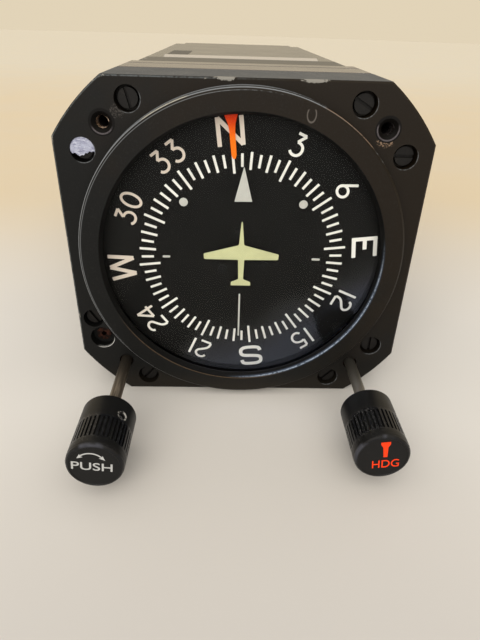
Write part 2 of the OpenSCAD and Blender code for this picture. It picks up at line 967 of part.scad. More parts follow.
// The card's half of the bevel pair, with its hub on the card shaft
module card_gear() {
    color("#b9a36a") {
        translate([0, gyro_y, 0])
            rotate([90, 0, 0])
                bevel_ring(180 / bevel_teeth);
        difference() {
            union() {
                tube_y(bevel_in + 0.3, 0, gyro_y - bevel_r - 1.1, gyro_y - bevel_r + 0.4);
                tube_y(4.2, 0, 60.4, gyro_y - bevel_r + 0.4);
            }
            tube_y(shaft_r, 0, 0, 100);
            for (a = [0:60:300])
                at_angle(a, 14.5) tube_y(5.6, 0, 50, 80);
        }
    }
}

module set_gear() {
    color("#b9a36a")
        difference() {
            union() {
                along_y(set_gear_y, set_gear_y + gear_t) spur_outline(ring_teeth);
                tube_y(4.5, 0, set_gear_y - 3, set_gear_y + 4);
            }
            tube_y(shaft_r, 0, 0, 100);
            for (a = [0:60:300])
                at_angle(a + 30, 17) tube_y(7, 0, 0, 40);
        }
}

module bug_gear() {
    color("#b9a36a")
        difference() {
            union() {
                along_y(bug_gear_y, bug_gear_y + gear_t) spur_outline(ring_teeth);
                tube_y(7.5, 0, bug_gear_y, plate_y - 0.15);
            }
            tube_y(boss_r + fit, 0, 0, 20);
            for (a = [0:60:300])
                at_angle(a + 30, 17) tube_y(7, 0, 0, 40);
        }
}

// The spoked carrier turns on the card's hub and reaches past the card's edge.
module bug_carrier() {
    color("#2a2b2d")
        along_y(carrier_y, carrier_y + carrier_t)
            difference() {
                union() {
                    circle(12);
                    difference() {
                        circle(31);
                        circle(28);
                    }
                    for (a = [0:60:300])
                        rotate(a + 90 + bug_angle) translate([6, -2]) square([24, 4]);
                    rotate(90 + bug_angle) translate([29, -1.6]) square([7.5, 3.2]);
                }
                circle(7.55);
            }
}

// The bug: a strip past the card's edge, then the pointer in front of the card
module heading_bug() {
    color("#e8501c")
        rotate([0, -bug_angle, 0])
            union() {
                translate([-1.6, 1.1, 35.8]) cube([3.2, carrier_y - 1.1, 0.7]);
                along_y(1.1, 1.35)
                    polygon([
                        [-1.6, 36.5], [1.6, 36.5], [1.6, 34.2], [1.45, 33.6], [0.85, 31.8],
                        [0.66, 30.4], [0.58, 25], [0.3, 24.2], [-0.3, 24.2], [-0.58, 25],
                        [-0.66, 30.4], [-0.85, 31.8], [-1.45, 33.6], [-1.6, 34.2]
                    ]);
            }
}

// The carriage slides with the push shaft and carries the idler on a pin through the plate.
module set_carriage() {
    color("#8b8f93")
        difference() {
            union() {
                along_y(carriage_y, carriage_y + carriage_t) {
                    rotate(set_angle) {
                        translate([bolt_r, 0]) circle(3.4);
                        translate([idler_at, 0]) circle(2.6);
                        translate([idler_at, -2.2]) square([bolt_r - idler_at, 4.4]);
                    }
                    translate([rod_x, rod_z]) circle(rod_lobe_r);
                }
                placed(set_angle, idler_at) tube_y(idler_pin_r, 0, 7.6, carriage_y + 0.5);
            }
            placed(set_angle, bolt_r) tube_y(shaft_r + 0.05, 0, 0, 100);
            translate([rod_x, 0, rod_z]) tube_y(rod_r, 0, 0, 100);
        }
}

// A rod from the carriage past the gyro, with the foot whose ramp lifts the brake pin
module caging_bar() {
    color("#8b8f93") {
        translate([rod_x, 0, rod_z]) tube_y(rod_r, 0, carriage_y, ramp_start);
        translate([rod_x - 1, ramp_start - 8, bar_z])
            cube([2, 8, rod_z - bar_z]);
        difference() {
            translate([rod_x - 1, ramp_start - 8, bar_z])
                cube([4 - rod_x, 12, bar_t]);
            translate([rod_x + 6, ramp_start - 5, bar_z - 1])
                cube([10, 6, bar_t + 2]);
        }
        translate([3, 0, 0])
            rotate([0, -90, 0])
                linear_extrude(height = 6)
                    polygon([
                        [bar_z + bar_t / 2, ramp_start], [bar_z + bar_t, ramp_start],
                        [ramp_top, ramp_start - push_stroke], [ramp_top, ramp_start - 6],
                        [bar_z + bar_t / 2, ramp_start - 6]
                    ]);
    }
}

module set_shaft() {
    color("#a5a19a")
        placed(set_angle, bolt_r) {
            tube_y(shaft_r, 0, 7 - push_face, bulkhead_y + 1);
            tube_y(2.4, 0, carriage_y + carriage_t, carriage_y + carriage_t + collar_t);
        }
}

module hdg_shaft() {
    color("#a5a19a")
        placed(hdg_angle, bolt_r) {
            tube_y(shaft_r, 0, 7 - hdg_face, plate_y + plate_t + 0.7);
            tube_y(2.2, 0, plate_y + plate_t + 0.1, plate_y + plate_t + 0.7);
        }
}

// A knob with its rim's front at the origin: a bevelled front, a grooved grip, a plain rear
module knob(screw_angle) {
    difference() {
        turned([
            [0, 0.1], [knob_r - 0.9, 0.1], [knob_r - 0.8, 0], [knob_r - 0.65, 0],
            [knob_r - 0.35, 0.1], [knob_r - 0.1, 0.45],
            [knob_r, 1.1], [knob_r, knob_len - 0.6], [knob_r - 0.6, knob_len], [0, knob_len]
        ]);
        for (i = [0:grooves - 1])
            at_angle(i * 360 / grooves, knob_r - 0.45)
                rotate([90, 0, 90])
                    linear_extrude(height = 1)
                        groove_outline();
        tube_y(shaft_r, 0, 6, 20);
        at_angle(screw_angle, 0) translate([0, 11, 0]) rotate([0, 90, 0]) {
            cylinder(r = 0.8, h = 20);
            translate([0, 0, knob_r - 0.35]) cylinder(r1 = 0.8, r2 = 1.25, h = 0.45);
        }
    }
}

// One groove's outline, with its length along Y once it is turned
module groove_outline() {
    translate([3.2, 0]) circle(0.25);
    translate([9, 0]) circle(0.25);
    translate([3.2, -0.25]) square([5.8, 0.5]);
}

module push_knob() {
    color("#141516")
        placed(set_angle, bolt_r) translate([0, -push_face, 0]) knob(46);
}

module hdg_knob() {
    color("#141516")
        placed(hdg_angle, bolt_r) translate([0, -hdg_face, 0]) knob(236);
}

// A socket set screw, whose point presses on the shaft
module set_screw(a) {
    at_angle(a, shaft_r)
        translate([0, 11, 0])
            rotate([0, 90, 0])
                difference() {
                    cylinder(r = 0.8, h = 3.9);
                    translate([0, 0, 2.6]) cylinder(r = 0.46, h = 3, $fn = 6);
                }
}

module push_set_screw() {
    color("#6a6a6c")
        placed(set_angle, bolt_r) translate([0, -push_face, 0]) set_screw(46);
}

module hdg_set_screw() {
    color("#6a6a6c")
        placed(hdg_angle, bolt_r) translate([0, -hdg_face, 0]) set_screw(236);
}

module pinion(y0) {
    difference() {
        union() {
            along_y(y0, y0 + gear_t) spur_outline(pinion_teeth);
            tube_y(2.2, 0, y0 - 0.6, y0 + gear_t);
        }
        tube_y(shaft_r, 0, -20, 60);
    }
}

// The pinions and idlers are turned so that their teeth mesh on the line to the dial's centre.
module set_pinion() {
    color("#b9a36a")
        placed(set_angle, bolt_r) rotate([0, -set_angle, 0]) pinion(set_rest_y);
}

module hdg_pinion() {
    color("#b9a36a")
        placed(hdg_angle, bolt_r) rotate([0, -hdg_angle, 0]) pinion(bug_gear_y);
}

module idler(y0) {
    difference() {
        along_y(y0, y0 + gear_t) spur_outline(idler_teeth, 180 / idler_teeth);
        tube_y(idler_pin_r + 0.05, 0, -20, 60);
    }
}

module set_idler() {
    color("#b9a36a")
        placed(set_angle, idler_at) rotate([0, -set_angle, 0]) idler(set_rest_y);
}

module hdg_idler() {
    color("#b9a36a")
        placed(hdg_angle, idler_at) rotate([0, -hdg_angle, 0]) idler(bug_gear_y);
}

// The return spring: round wire wound from the collar back to the bulkhead
module set_spring() {
    y0 = carriage_y + carriage_t + collar_t + spring_wire;
    y1 = bulkhead_y - spring_wire;
    steps = spring_turns * 20;
    points = [
        for (i = [0:steps])
            for (k = [0:7])
                let(
                    a = i * 18,
                    r = spring_r + spring_wire * cos(k * 45),
                    y = y0 + (y1 - y0) * i / steps + spring_wire * sin(k * 45)
                )
                    [r * cos(a), y, r * sin(a)]
    ];
    color("#9aa0a5")
        placed(set_angle, bolt_r)
            skin(points, 8, steps + 1, false);
}

module caging_pin() {
    color("#c8ccd0")
        translate([0, gyro_y, -pin_foot])
            cylinder(r = pin_r, h = pin_foot - pin_tip);
}

bezel();
cover_glass();
glass_gasket();
glass_retainer();
bezel_gasket();
gyro_frame();
case_gasket();
rear_case();
bezel_screws();
case_screws();
mount_inserts();
shaft_bushes();
shaft_seals();
front_plate();
plate_posts();
plate_screws();
bug_gear_clip();
hdg_idler_pin();
card_bearings();
upper_bearing();
lower_bearing();
inlet_tube();
inlet_filter();
filter_ring();
outer_gimbal();
gimbal_gear();
gimbal_gear_screws();
tilt_bearings();
rotor_housing();
rotor_covers();
cover_screws();
rotor_bearings();
bearing_caps();
air_jets();
rotor();
rotor_shaft();
compass_card();
card_hub();
carrier_clip();
hub_screws();
card_shaft();
card_gear();
set_gear();
bug_gear();
bug_carrier();
heading_bug();
set_carriage();
caging_bar();
set_shaft();
push_knob();
push_set_screw();
set_pinion();
set_idler();
set_spring();
caging_pin();
hdg_shaft();
hdg_knob();
hdg_set_screw();
hdg_pinion();
hdg_idler();
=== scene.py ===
import math
from functools import reduce

import bpy
from mathutils import Matrix, Vector


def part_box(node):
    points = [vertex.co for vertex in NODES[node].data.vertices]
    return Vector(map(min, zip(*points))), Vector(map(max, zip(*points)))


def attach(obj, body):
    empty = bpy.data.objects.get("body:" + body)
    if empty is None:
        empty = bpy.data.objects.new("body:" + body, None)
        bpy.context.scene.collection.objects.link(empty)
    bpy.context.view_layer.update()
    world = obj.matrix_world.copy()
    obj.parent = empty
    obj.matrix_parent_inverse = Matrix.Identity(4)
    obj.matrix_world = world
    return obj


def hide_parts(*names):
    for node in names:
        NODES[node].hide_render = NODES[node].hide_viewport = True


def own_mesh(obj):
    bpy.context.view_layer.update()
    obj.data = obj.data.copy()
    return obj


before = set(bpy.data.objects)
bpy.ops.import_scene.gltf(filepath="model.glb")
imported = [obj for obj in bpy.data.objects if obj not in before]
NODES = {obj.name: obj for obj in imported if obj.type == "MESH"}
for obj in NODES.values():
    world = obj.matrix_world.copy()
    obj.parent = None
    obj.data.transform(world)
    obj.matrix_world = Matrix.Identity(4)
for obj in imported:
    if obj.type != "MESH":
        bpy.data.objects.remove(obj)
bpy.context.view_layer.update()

bl_info = {
    "name": "Directional Gyro Indicator",
    "version": (1, 0, 0),
    "blender": (4, 5, 0),
    "location": "3D View > Sidebar > Gyro Indicator",
    "description": "Finishes, printed marks, threads and stage of a directional gyro indicator",
    "category": "Object",
}

MM = 0.001
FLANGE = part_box("bezel")[1]

# These places and sizes are in millimetres and degrees.
CARD_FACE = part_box("compass_card")[0].y / MM
CASE_LOW, CASE_HIGH = (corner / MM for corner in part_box("rear_case"))
# A knob's face lies this far behind its rim, and its set screw this far behind the face.
FACE_SUNK = 0.1
SET_SCREW_DEPTH = 11
PUSH_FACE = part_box("push_knob")[0].y / MM + FACE_SUNK
HDG_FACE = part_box("hdg_knob")[0].y / MM + FACE_SUNK
# The corner screws stand on a circle, this far to both sides of the diagonals.
SCREW_CIRCLE = 44.45
SCREW_TURN = 9.91
COUNTERBORE = 2.84
OPEN_BORE, OPEN_BORE_PLACE = 3.22, (-37.25, -23.91)
RING_HEIGHT = 2.9
LIP_RADIUS = 34.8
# Behind the flange: the end of the frame's band, and the slope up to the case's raised pads
BAND_END = 41.8
PAD_SLOPE, PAD_HALF_WIDTH = (69, 73.2), 25
SHAFT_OUT = 31.4309
SPRING_WIRE, SPRING_TURNS = 0.28, 7
# The radius, half thickness and pitch of a thread's ridge, and the depths between which it runs
INSERT_THREAD, INSERT_DEPTHS = (1.47, 0.14, 0.79), (0.9, 12.4)
PORT_THREAD, PORT_DEPTHS = (5.62, 0.3, 1.41), (CASE_HIGH.y - 7.6, CASE_HIGH.y - 0.6)
PORT_HEIGHTS = (22, -28.5)
GLASS_PRINT = 0.04
# The glass's marks stop 0.02 mm behind its back, so that no faces coincide.
GLASS_PRINT_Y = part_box("cover_glass")[1].y / MM + GLASS_PRINT + 0.02
KNOB_PRINT = 0.06
# A stroke that crosses another stands this much higher.
STROKE_STEP = 0.004
CHARACTER_CORNER = 0.12

# The photograph's camera: its turns about the line of sight, across and up, its move and lens
CAMERA_TURNS = (1.77, 30.54, -1.88)
CAMERA_MOVE = (0.5, -15.4, 127.01)
FOCAL_PIXELS = 507.47
PICTURE_HEIGHT = 640
SENSOR_HEIGHT = 36
# The floor, in metres, lies just under the case.
FLOOR_RADIUS = 4
FLOOR_GAP = 0.00002


def length_setting(name, description, default):
    return bpy.props.FloatProperty(
        name=name, description=description, default=default, unit="LENGTH"
    )


def colour_setting(name, description, default):
    return bpy.props.FloatVectorProperty(
        name=name, description=description, default=default, subtype="COLOR", size=3
    )


class CaseSizes(bpy.types.PropertyGroup):
    half_width: length_setting("Half width", "From the dial axis to the flange's side", FLANGE.x)
    half_height: length_setting("Half height", "From the dial axis to the flange's top", FLANGE.z)
    corner_radius: length_setting(
        "Corner radius", "Radius of the arcs at the corners, about the dial axis", 0.05135
    )
    ring_radius: length_setting("Ring radius", "Outer radius of the raised dial ring", 0.0396)
    paint: colour_setting(
        "Front paint", "Satin black paint of the front casting", (0.0034, 0.0035, 0.0032)
    )
    case_paint: colour_setting(
        "Case paint",
        "Dark grey paint of the frame's band and the rear case",
        (0.03, 0.029, 0.028),
    )
    bare: colour_setting(
        "Bare casting", "Alloy that shows where the paint has worn off", (0.4, 0.37, 0.31)
    )
    touch_up: colour_setting("Sealing lacquer", "Pale lacquer over one screw", (0.4, 0.41, 0.5))


class DialSizes(bpy.types.PropertyGroup):
    card_turn: bpy.props.FloatProperty(
        name="Card turn",
        description="How far left of the top the card's north stands at rest",
        default=math.radians(6.35),
        subtype="ANGLE",
    )
    ink_height: length_setting(
        "Ink height", "How far the printed marks stand out of the card", 0.00005
    )
    tick_width: length_setting("Tick width", "Width of each tick on the card", 0.0006)
    digit_pen: length_setting("Digit stroke", "Width of a digit's stroke", 0.00064)
    letter_pen: length_setting("Letter stroke", "Width of a letter's stroke", 0.00098)
    card_ink: colour_setting("Card ink", "Warm white print on the card", (0.9, 0.86, 0.78))
    glass_ink: colour_setting("Glass ink", "Grey-white print behind the glass", (0.58, 0.56, 0.5))
    plane_ink: colour_setting(
        "Aeroplane ink", "Pale yellow-green print of the aeroplane sign", (0.62, 0.61, 0.33)
    )
    card_paint: colour_setting(
        "Card paint", "Matt black paint of the card", (0.0028, 0.0026, 0.0023)
    )
    bug_paint: colour_setting(
        "Bug paint", "Orange-red paint of the heading bug", (1.0, 0.19, 0.006)
    )


class KnobSizes(bpy.types.PropertyGroup):
    radius: length_setting("Knob radius", "Radius over a knob's ridges", 0.00635)
    plastic: colour_setting("Knob", "Black moulding of both knobs", (0.0035, 0.0035, 0.0038))
    white_ink: colour_setting(
        "White lettering", "Ink of the push knob's lettering", (0.5, 0.49, 0.46)
    )
    orange_ink: colour_setting(
        "Orange lettering", "Ink of the heading knob's lettering", (1.0, 0.05, 0.004)
    )


class StageSizes(bpy.types.PropertyGroup):
    floor_colour: colour_setting("Floor", "Plain pale floor", (0.8, 0.74, 0.65))
    sky_colour: colour_setting("Background", "Plain pale background", (0.76, 0.655, 0.48))
    key_strength: bpy.props.FloatProperty(
        name="Key light",
        description="Strength of the soft light from the front; the light from above follows it",
        default=2.35,
    )
    world_strength: bpy.props.FloatProperty(
        name="Room light",
        description="Strength of the even light from all round",
        default=0.5,
    )


class Signal:
    """A number that varies over a surface. Arithmetic on it adds Math nodes."""

    def __init__(self, nodes, socket):
        self.nodes = nodes
        self.socket = socket

    def apply(self, operation, *others):
        sockets = dict(enumerate((self, *others)))
        maths = self.nodes.add("ShaderNodeMath", {"operation": operation}, sockets)
        return Signal(self.nodes, maths.outputs[0])

    def __add__(self, other):
        return self.apply("ADD", other)

    __radd__ = __add__

    def __mul__(self, other):
        return self.apply("MULTIPLY", other)

    __rmul__ = __mul__

    def __sub__(self, other):
        return self.apply("SUBTRACT", other)

    def __rsub__(self, other):
        return self.apply("MULTIPLY_ADD", -1.0, other)

    def __truediv__(self, other):
        return self.apply("DIVIDE", other)

    def __abs__(self):
        return self.apply("ABSOLUTE")

    def least(self, other):
        return self.apply("MINIMUM", other)

    def most(self, other):
        return self.apply("MAXIMUM", other)

    def rises(self, low, high):
        """0 below low, 1 above high and a soft step between; falls if low is above high."""
        step = self.nodes.add(
            "ShaderNodeMapRange",
            {"interpolation_type": "SMOOTHSTEP"},
            {"Value": self, "From Min": low, "From Max": high},
        )
        return Signal(self.nodes, step.outputs[0])

    def between(self, low, high, soft=0.0001):
        """1 from low to high, and 0 outside."""
        return self.rises(low - soft, low) * self.rises(high + soft, high)


def distance(across, up):
    """The distance over two legs at right angles."""
    return (across * across + up * up).apply("SQRT")


class Nodes:
    """The nodes of one finish, or of the world."""

    def __init__(self, tree):
        self.tree = tree
        self.tree.nodes.clear()

    def add(self, kind, settings=None, sockets=None):
        """Adds a node of a type, with its settings first and then its sockets' values or links."""
        node = self.tree.nodes.new(kind)
        for name, value in (settings or {}).items():
            setattr(node, name, value)
        for key, value in (sockets or {}).items():
            if isinstance(value, Signal):
                self.tree.links.new(value.socket, node.inputs[key])
            elif isinstance(value, bpy.types.NodeSocket):
                self.tree.links.new(value, node.inputs[key])
            else:
                node.inputs[key].default_value = value
        return node


class Finish(Nodes):
    """A procedural material that reads the object's own coordinates, in metres."""

    def __init__(self, name):
        self.material = bpy.data.materials.new(name)
        self.material.use_nodes = True
        super().__init__(self.material.node_tree)
        self.place = self.add("ShaderNodeTexCoord").outputs["Object"]
        axes = self.add("ShaderNodeSeparateXYZ", None, {0: self.place}).outputs
        self.x, self.y, self.z = (Signal(self, axis) for axis in axes)

    def at(self, turn=(0, 0, 0), stretch=(1, 1, 1)):
        """The object's coordinates, turned and stretched."""
        sockets = {"Vector": self.place, "Rotation": turn, "Scale": stretch}
        return self.add("ShaderNodeMapping", {"vector_type": "POINT"}, sockets).outputs[0]

    def noise(self, size_mm, detail=2.0, roughness=0.5, vector=None):
        """Cloudy noise from 0 to 1 with clouds of about a size in millimetres."""
        sockets = {
            "Vector": vector or self.place,
            "Scale": 1 / (size_mm * MM),
            "Detail": detail,
            "Roughness": roughness,
        }
        cloud = self.add("ShaderNodeTexNoise", {"noise_dimensions": "3D"}, sockets)
        return Signal(self, cloud.outputs[0])

    def spot(self, x_mm, z_mm, half_width_mm, half_height_mm, breakup):
        """A spot with a ragged edge around a place, as seen from the front."""
        dx = (self.x - x_mm * MM) / (half_width_mm * MM)
        dz = (self.z - z_mm * MM) / (half_height_mm * MM)
        return (breakup * 2.4 - 0.5 - dx * dx - dz * dz).rises(0.0, 0.25)

    def mix(self, factor, low, high):
        """A colour between two colours."""
        pair = [c if isinstance(c, bpy.types.NodeSocket) else (*c, 1.0) for c in (low, high)]
        blend = self.add(
            "ShaderNodeMix",
            {"data_type": "RGBA", "blend_type": "MIX"},
            {0: factor, 6: pair[0], 7: pair[1]},
        )
        return blend.outputs[2]

    def coats(self, colour, *coats):
        """A colour under coats, each a pair of where it lies and its colour, the lowest first."""
        return reduce(lambda under, coat: self.mix(coat[0], under, coat[1]), coats, colour)

    def bump(self, height, depth_mm):
        """A normal from a height of 0 to 1 that stands for a depth in millimetres."""
        sockets = {"Height": height, "Distance": depth_mm * MM, "Strength": 1.0}
        return self.add("ShaderNodeBump", None, sockets).outputs[0]

    def principled(self, **sockets):
        named = {
            key.replace("_", " ").title().replace("Ior", "IOR"): value
            for key, value in sockets.items()
        }
        return self.add("ShaderNodeBsdfPrincipled", None, named).outputs[0]

    def done(self, shader):
        self.add("ShaderNodeOutputMaterial", None, {"Surface": shader})
        return self.material

    def surface(self, **sockets):
        """The finished material, as one principled surface."""
        return self.done(self.principled(**sockets))


def fade(colour, by):
    return tuple(channel * by for channel in colour)


def dress(material, *names):
    """Gives CAD nodes a finish."""
    for name in names:
        slots = NODES[name].data.materials
        slots.clear()
        slots.append(material)


def alone(*objects):
    """Selects only these objects and makes the first one active."""
    bpy.ops.object.select_all(action="DESELECT")
    for item in objects:
        item.select_set(True)
    bpy.context.view_layer.objects.active = objects[0]


def joined(name, *objects):
    alone(*objects)
    if len(objects) > 1:
        bpy.ops.object.join()
    objects[0].name = name
    objects[0].data.name = name
    return objects[0]


def copied(item, place):
    """A copy with its own mesh, at a place."""
    twin = item.copy()
    twin.data = item.data.copy()
    bpy.context.scene.collection.objects.link(twin)
    twin.matrix_world = place
    return twin


def applied(item):
    """Writes the object's place into its mesh."""
    alone(item)
    bpy.ops.object.transform_apply(location=True, rotation=True, scale=True)
    return item


def settled(item, material, body):
    """Hangs a finished piece on a CAD body."""
    applied(item)
    item.data.materials.clear()
    item.data.materials.append(material)
    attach(item, body)


def meshed(curve, lift=0.0, merge=0.000001):
    """A closed mesh from a curve or text, lifted by a height, with its faces outward."""
    alone(curve)
    bpy.ops.object.convert(target="MESH")
    item = bpy.context.view_layer.objects.active
    bpy.ops.object.mode_set(mode="EDIT")
    bpy.ops.mesh.select_all(action="SELECT")
    bpy.ops.mesh.remove_doubles(threshold=merge)
    bpy.ops.transform.translate(value=(0, 0, lift))
    bpy.ops.mesh.normals_make_consistent(inside=False)
    bpy.ops.object.mode_set(mode="OBJECT")
    return item


def front_place(angle=90.0, x=0.0, y=0.0, z=0.0):
    """From a drawing seen from the front, in metres, to the object.

    The drawing's up direction points at an angle, and its origin lies at a place in millimetres.
    """
    a = math.radians(angle)
    right = Vector((math.sin(a), 0, -math.cos(a)))
    up = Vector((math.cos(a), 0, math.sin(a)))
    out = Vector((0, -1, 0))
    turn = Matrix((right, up, out)).transposed().to_4x4()
    return Matrix.Translation((x * MM, y * MM, z * MM)) @ turn


def drawn(x_mm, y_mm, angle=0.0):
    """A place on a drawing, turned by an angle."""
    turn = Matrix.Rotation(math.radians(angle), 4, "Z")
    return Matrix.Translation((x_mm * MM, y_mm * MM, 0)) @ turn


def screw_place(angle):
    """Where a corner screw at an angle stands, to the right and up."""
    a = math.radians(angle)
    return SCREW_CIRCLE * math.cos(a), SCREW_CIRCLE * math.sin(a)


def flat_shape(outlines, height_mm):
    """A closed plate from outlines, from the drawing plane up to a height, in millimetres."""
    curve = bpy.data.curves.new("shape", "CURVE")
    curve.dimensions = "2D"
    curve.fill_mode = "BOTH"
    curve.extrude = height_mm * MM / 2
    for outline in outlines:
        spline = curve.splines.new("POLY")
        spline.points.add(len(outline) - 1)
        for point, (x, y) in zip(spline.points, outline):
            point.co = (x * MM, y * MM, 0, 1)
        spline.use_cyclic_u = True
    item = bpy.data.objects.new("shape", curve)
    bpy.context.scene.collection.objects.link(item)
    return meshed(item, height_mm * MM / 2)


def smooth(points, steps=6):
    """A soft line through points."""
    ends = [points[0], *points, points[-1]]
    line = []
    for corners in zip(ends, ends[1:], ends[2:], ends[3:]):
        for k in range(steps):
            t = k / steps
            weights = (
                (2 * t * t - t - t**3) / 2,
                (2 - 5 * t * t + 3 * t**3) / 2,
                (t + 4 * t * t - 3 * t**3) / 2,
                (t**3 - t * t) / 2,
            )
            line.append(
                tuple(sum(w * c for w, c in zip(weights, axis)) for axis in zip(*corners))
            )
    return [*line, points[-1]]


def arc(centre, radii, start, end, steps=10):
    """Points on an ellipse's arc, whose two radii are across and up."""
    angles = [math.radians(start + (end - start) * k / steps) for k in range(steps + 1)]
    return [
        (centre[0] + radii[0] * math.cos(a), centre[1] + radii[1] * math.sin(a)) for a in angles
    ]


def stroke_outline(points, width, corner):
    """The outline of a pen's stroke along points, with its end corners rounded to a radius."""
    half = width / 2
    corner = min(corner, half)
    line = [Vector(p) for p in points]
    heads = [(b - a).normalized() for a, b in zip(line, line[1:])]
    left, right = [], []
    for i, p in enumerate(line):
        before = heads[max(0, i - 1)]
        after = heads[min(i, len(heads) - 1)]
        across = Vector((-(before + after).y, (before + after).x)).normalized()
        reach = half / max(0.35, across.dot(Vector((-after.y, after.x))))
        left.append(p + across * reach)
        right.append(p - across * reach)

    def end(tip, head):
        """Two rounded corners of an end, from its right side to its left side."""
        side = Vector((-head.y, head.x))
        quarter = [math.radians(90 * k / 4) for k in range(5)]
        legs = [
            (half - corner * (1 - math.cos(t)), -corner * (1 - math.sin(t))) for t in quarter
        ]
        first = [tip - side * out + head * back for out, back in legs]
        return first + [tip + side * out + head * back for out, back in reversed(legs)]

    far = end(line[-1], heads[-1])
    near = end(line[0], -heads[0])
    outline = right[1:-1] + far + left[-2:0:-1] + near
    return [(p.x, p.y) for p in outline]


# Strokes of the card's characters. Up is the distance from the dial's axis, in millimetres.
# A digit's points are smoothed where its line bends.
DIGITS = {
    "0": [arc((0, 30.05), (1.45, 2.45), 0, 360, 40)],
    "1": [[(0, 27.5), (0, 32.65)]],
    "2": [
        smooth([
            (0.05, 31.75), (0.3, 32.3), (0.85, 32.6), (1.55, 32.65), (2.3, 32.35), (2.75, 31.6),
            (2.5, 30.85), (1.6, 30.2), (0.6, 29.5), (0.05, 28.7), (-0.08, 27.65),
        ]),
        [(-0.08, 27.55), (2.75, 27.55)],
    ],
    "3": [
        [(-1.0, 32.25), (1.0, 32.25)],
        [(1.0, 32.25), (-0.35, 30.4)],
        smooth([
            (-0.35, 30.4), (0.3, 30.35), (1.05, 29.95), (1.43, 29.1), (1.25, 28.2),
            (0.65, 27.6), (-0.1, 27.45), (-0.8, 27.65), (-1.25, 28.1),
        ]),
    ],
    "4": [
        [(2.05, 27.75), (2.05, 32.75)],
        [(2.05, 32.75), (-0.75, 29.35)],
        [(-0.75, 29.35), (2.9, 29.35)],
    ],
    "5": [
        [(0.3, 32.55), (2.6, 32.55)],
        [(0.3, 32.55), (0.2, 30.55)],
        smooth([
            (0.2, 30.55), (0.9, 30.75), (1.7, 30.65), (2.5, 30.2), (2.9, 29.3),
            (2.7, 28.4), (2.1, 27.75), (1.35, 27.55), (0.7, 27.75), (0.2, 28.25),
        ]),
    ],
    "6": [
        arc((0.18, 28.95), (1.42, 1.3), 0, 360, 36),
        smooth([(1.2, 32.7), (0.3, 31.45), (-0.55, 30.25), (-1.1, 29.4), (-1.24, 28.9)]),
    ],
}
LETTERS = {
    "N": [
        [(-2.75, 27.0), (-2.75, 33.35)],
        [(-2.75, 33.2), (2.6, 27.15)],
        [(2.6, 27.0), (2.6, 33.35)],
    ],
    "E": [
        [(-1.75, 27.7), (-1.75, 34.1)],
        [(-1.75, 33.6), (3.05, 33.6)],
        [(-1.75, 30.95), (1.05, 30.95)],
        [(-1.75, 28.2), (3.1, 28.2)],
    ],
    "S": [
        smooth([
            (2.6, 32.0), (2.35, 32.85), (1.6, 33.2), (0, 33.3), (-1.6, 33.2), (-2.5, 32.75),
            (-2.75, 31.95), (-2.5, 31.15), (-1.6, 30.8), (0, 30.6), (1.6, 30.45), (2.5, 30.05),
            (2.75, 29.2), (2.5, 28.35), (1.6, 27.85), (0, 27.75), (-1.5, 27.85), (-2.35, 28.2),
            (-2.65, 29.0),
        ], 5),
    ],
    "W": [
        [(-3.4, 33.7), (-2.2, 27.3)],
        [(-2.2, 27.3), (-0.1, 33.65)],
        [(-0.1, 33.65), (2.0, 27.3)],
        [(2.0, 27.3), (2.95, 33.7)],
    ],
}
# Heading of each mark and its characters, each with its place to the right
CARD_MARKS = (
    (0, [("N", 0)]),
    (30, [("3", 0)]),
    (60, [("6", 0)]),
    (90, [("E", 0)]),
    (120, [("1", -1.8), ("2", 0)]),
    (150, [("1", -1.75), ("5", 0)]),
    (180, [("S", 0)]),
    (210, [("2", -3.4), ("1", 1.05)]),
    (240, [("2", -4.35), ("4", 0)]),
    (270, [("W", 0)]),
    (300, [("3", -2.4), ("0", 1.95)]),
    (330, [("3", -2.05), ("3", 2.25)]),
)
# Inner and outer radius of the ticks on every 30, 10 and 5 degrees
TICKS = {30: (20.75, 26.05), 10: (21.6, 25.65), 5: (22.2, 25.25)}


def ring_outlines(points, width):
    """Both outlines of a closed stroke."""
    inner, outer = [], []
    line = [Vector(p) for p in points[:-1]]
    for i, p in enumerate(line):
        head = (line[(i + 1) % len(line)] - line[i - 1]).normalized()
        across = Vector((head.y, -head.x)) * width / 2
        outer.append(tuple(p + across))
        inner.append(tuple(p - across))
    return [outer, inner]


def character(strokes, pen, height_mm):
    """One character as a mesh, each stroke a little higher, so that no faces coincide."""
    plates = []
    for k, points in enumerate(strokes):
        if math.dist(points[0], points[-1]) < 0.001:
            outlines = ring_outlines(points, pen)
        else:
            outlines = [stroke_outline(points, pen, CHARACTER_CORNER)]
        plates.append(flat_shape(outlines, height_mm + k * STROKE_STEP))
    return joined("character", *plates)


class GYRO_OT_case_finishes(bpy.types.Operator):
    """Paint the front casting, the frame's band and the rear case"""

    bl_idname = "gyro.case_finishes"
    bl_label = "Case finishes"

    def execute(self, context):
        sizes = context.scene.gyro_case
        dress(front_paint(sizes), "bezel")
        dress(case_paint(sizes, "case_paint"), "gyro_frame", "rear_case")
        dress(seal_rubber(), "bezel_gasket", "case_gasket", "glass_gasket", "shaft_seals")
        dress(black_steel("retainer_black", (0.03, 0.03, 0.032)), "glass_retainer")
        dress(black_steel("screw_black", (0.009, 0.008, 0.007)), "bezel_screws", "case_screws")
        set_screws = black_steel("set_screw_black", (0.14, 0.135, 0.13))
        dress(set_screws, "push_set_screw", "hdg_set_screw")
        dress(painted_brass(), "mount_inserts", "shaft_bushes")
        return {"FINISHED"}


def rim_distance(finish, sizes):
    """A place's radius, and how far it is outside the flange's sides and its whole outline."""
    radius = distance(finish.x, finish.z)
    sides = (abs(finish.x) - sizes.half_width).most(abs(finish.z) - sizes.half_height)
    return radius, sides, sides.most(radius - sizes.corner_radius)


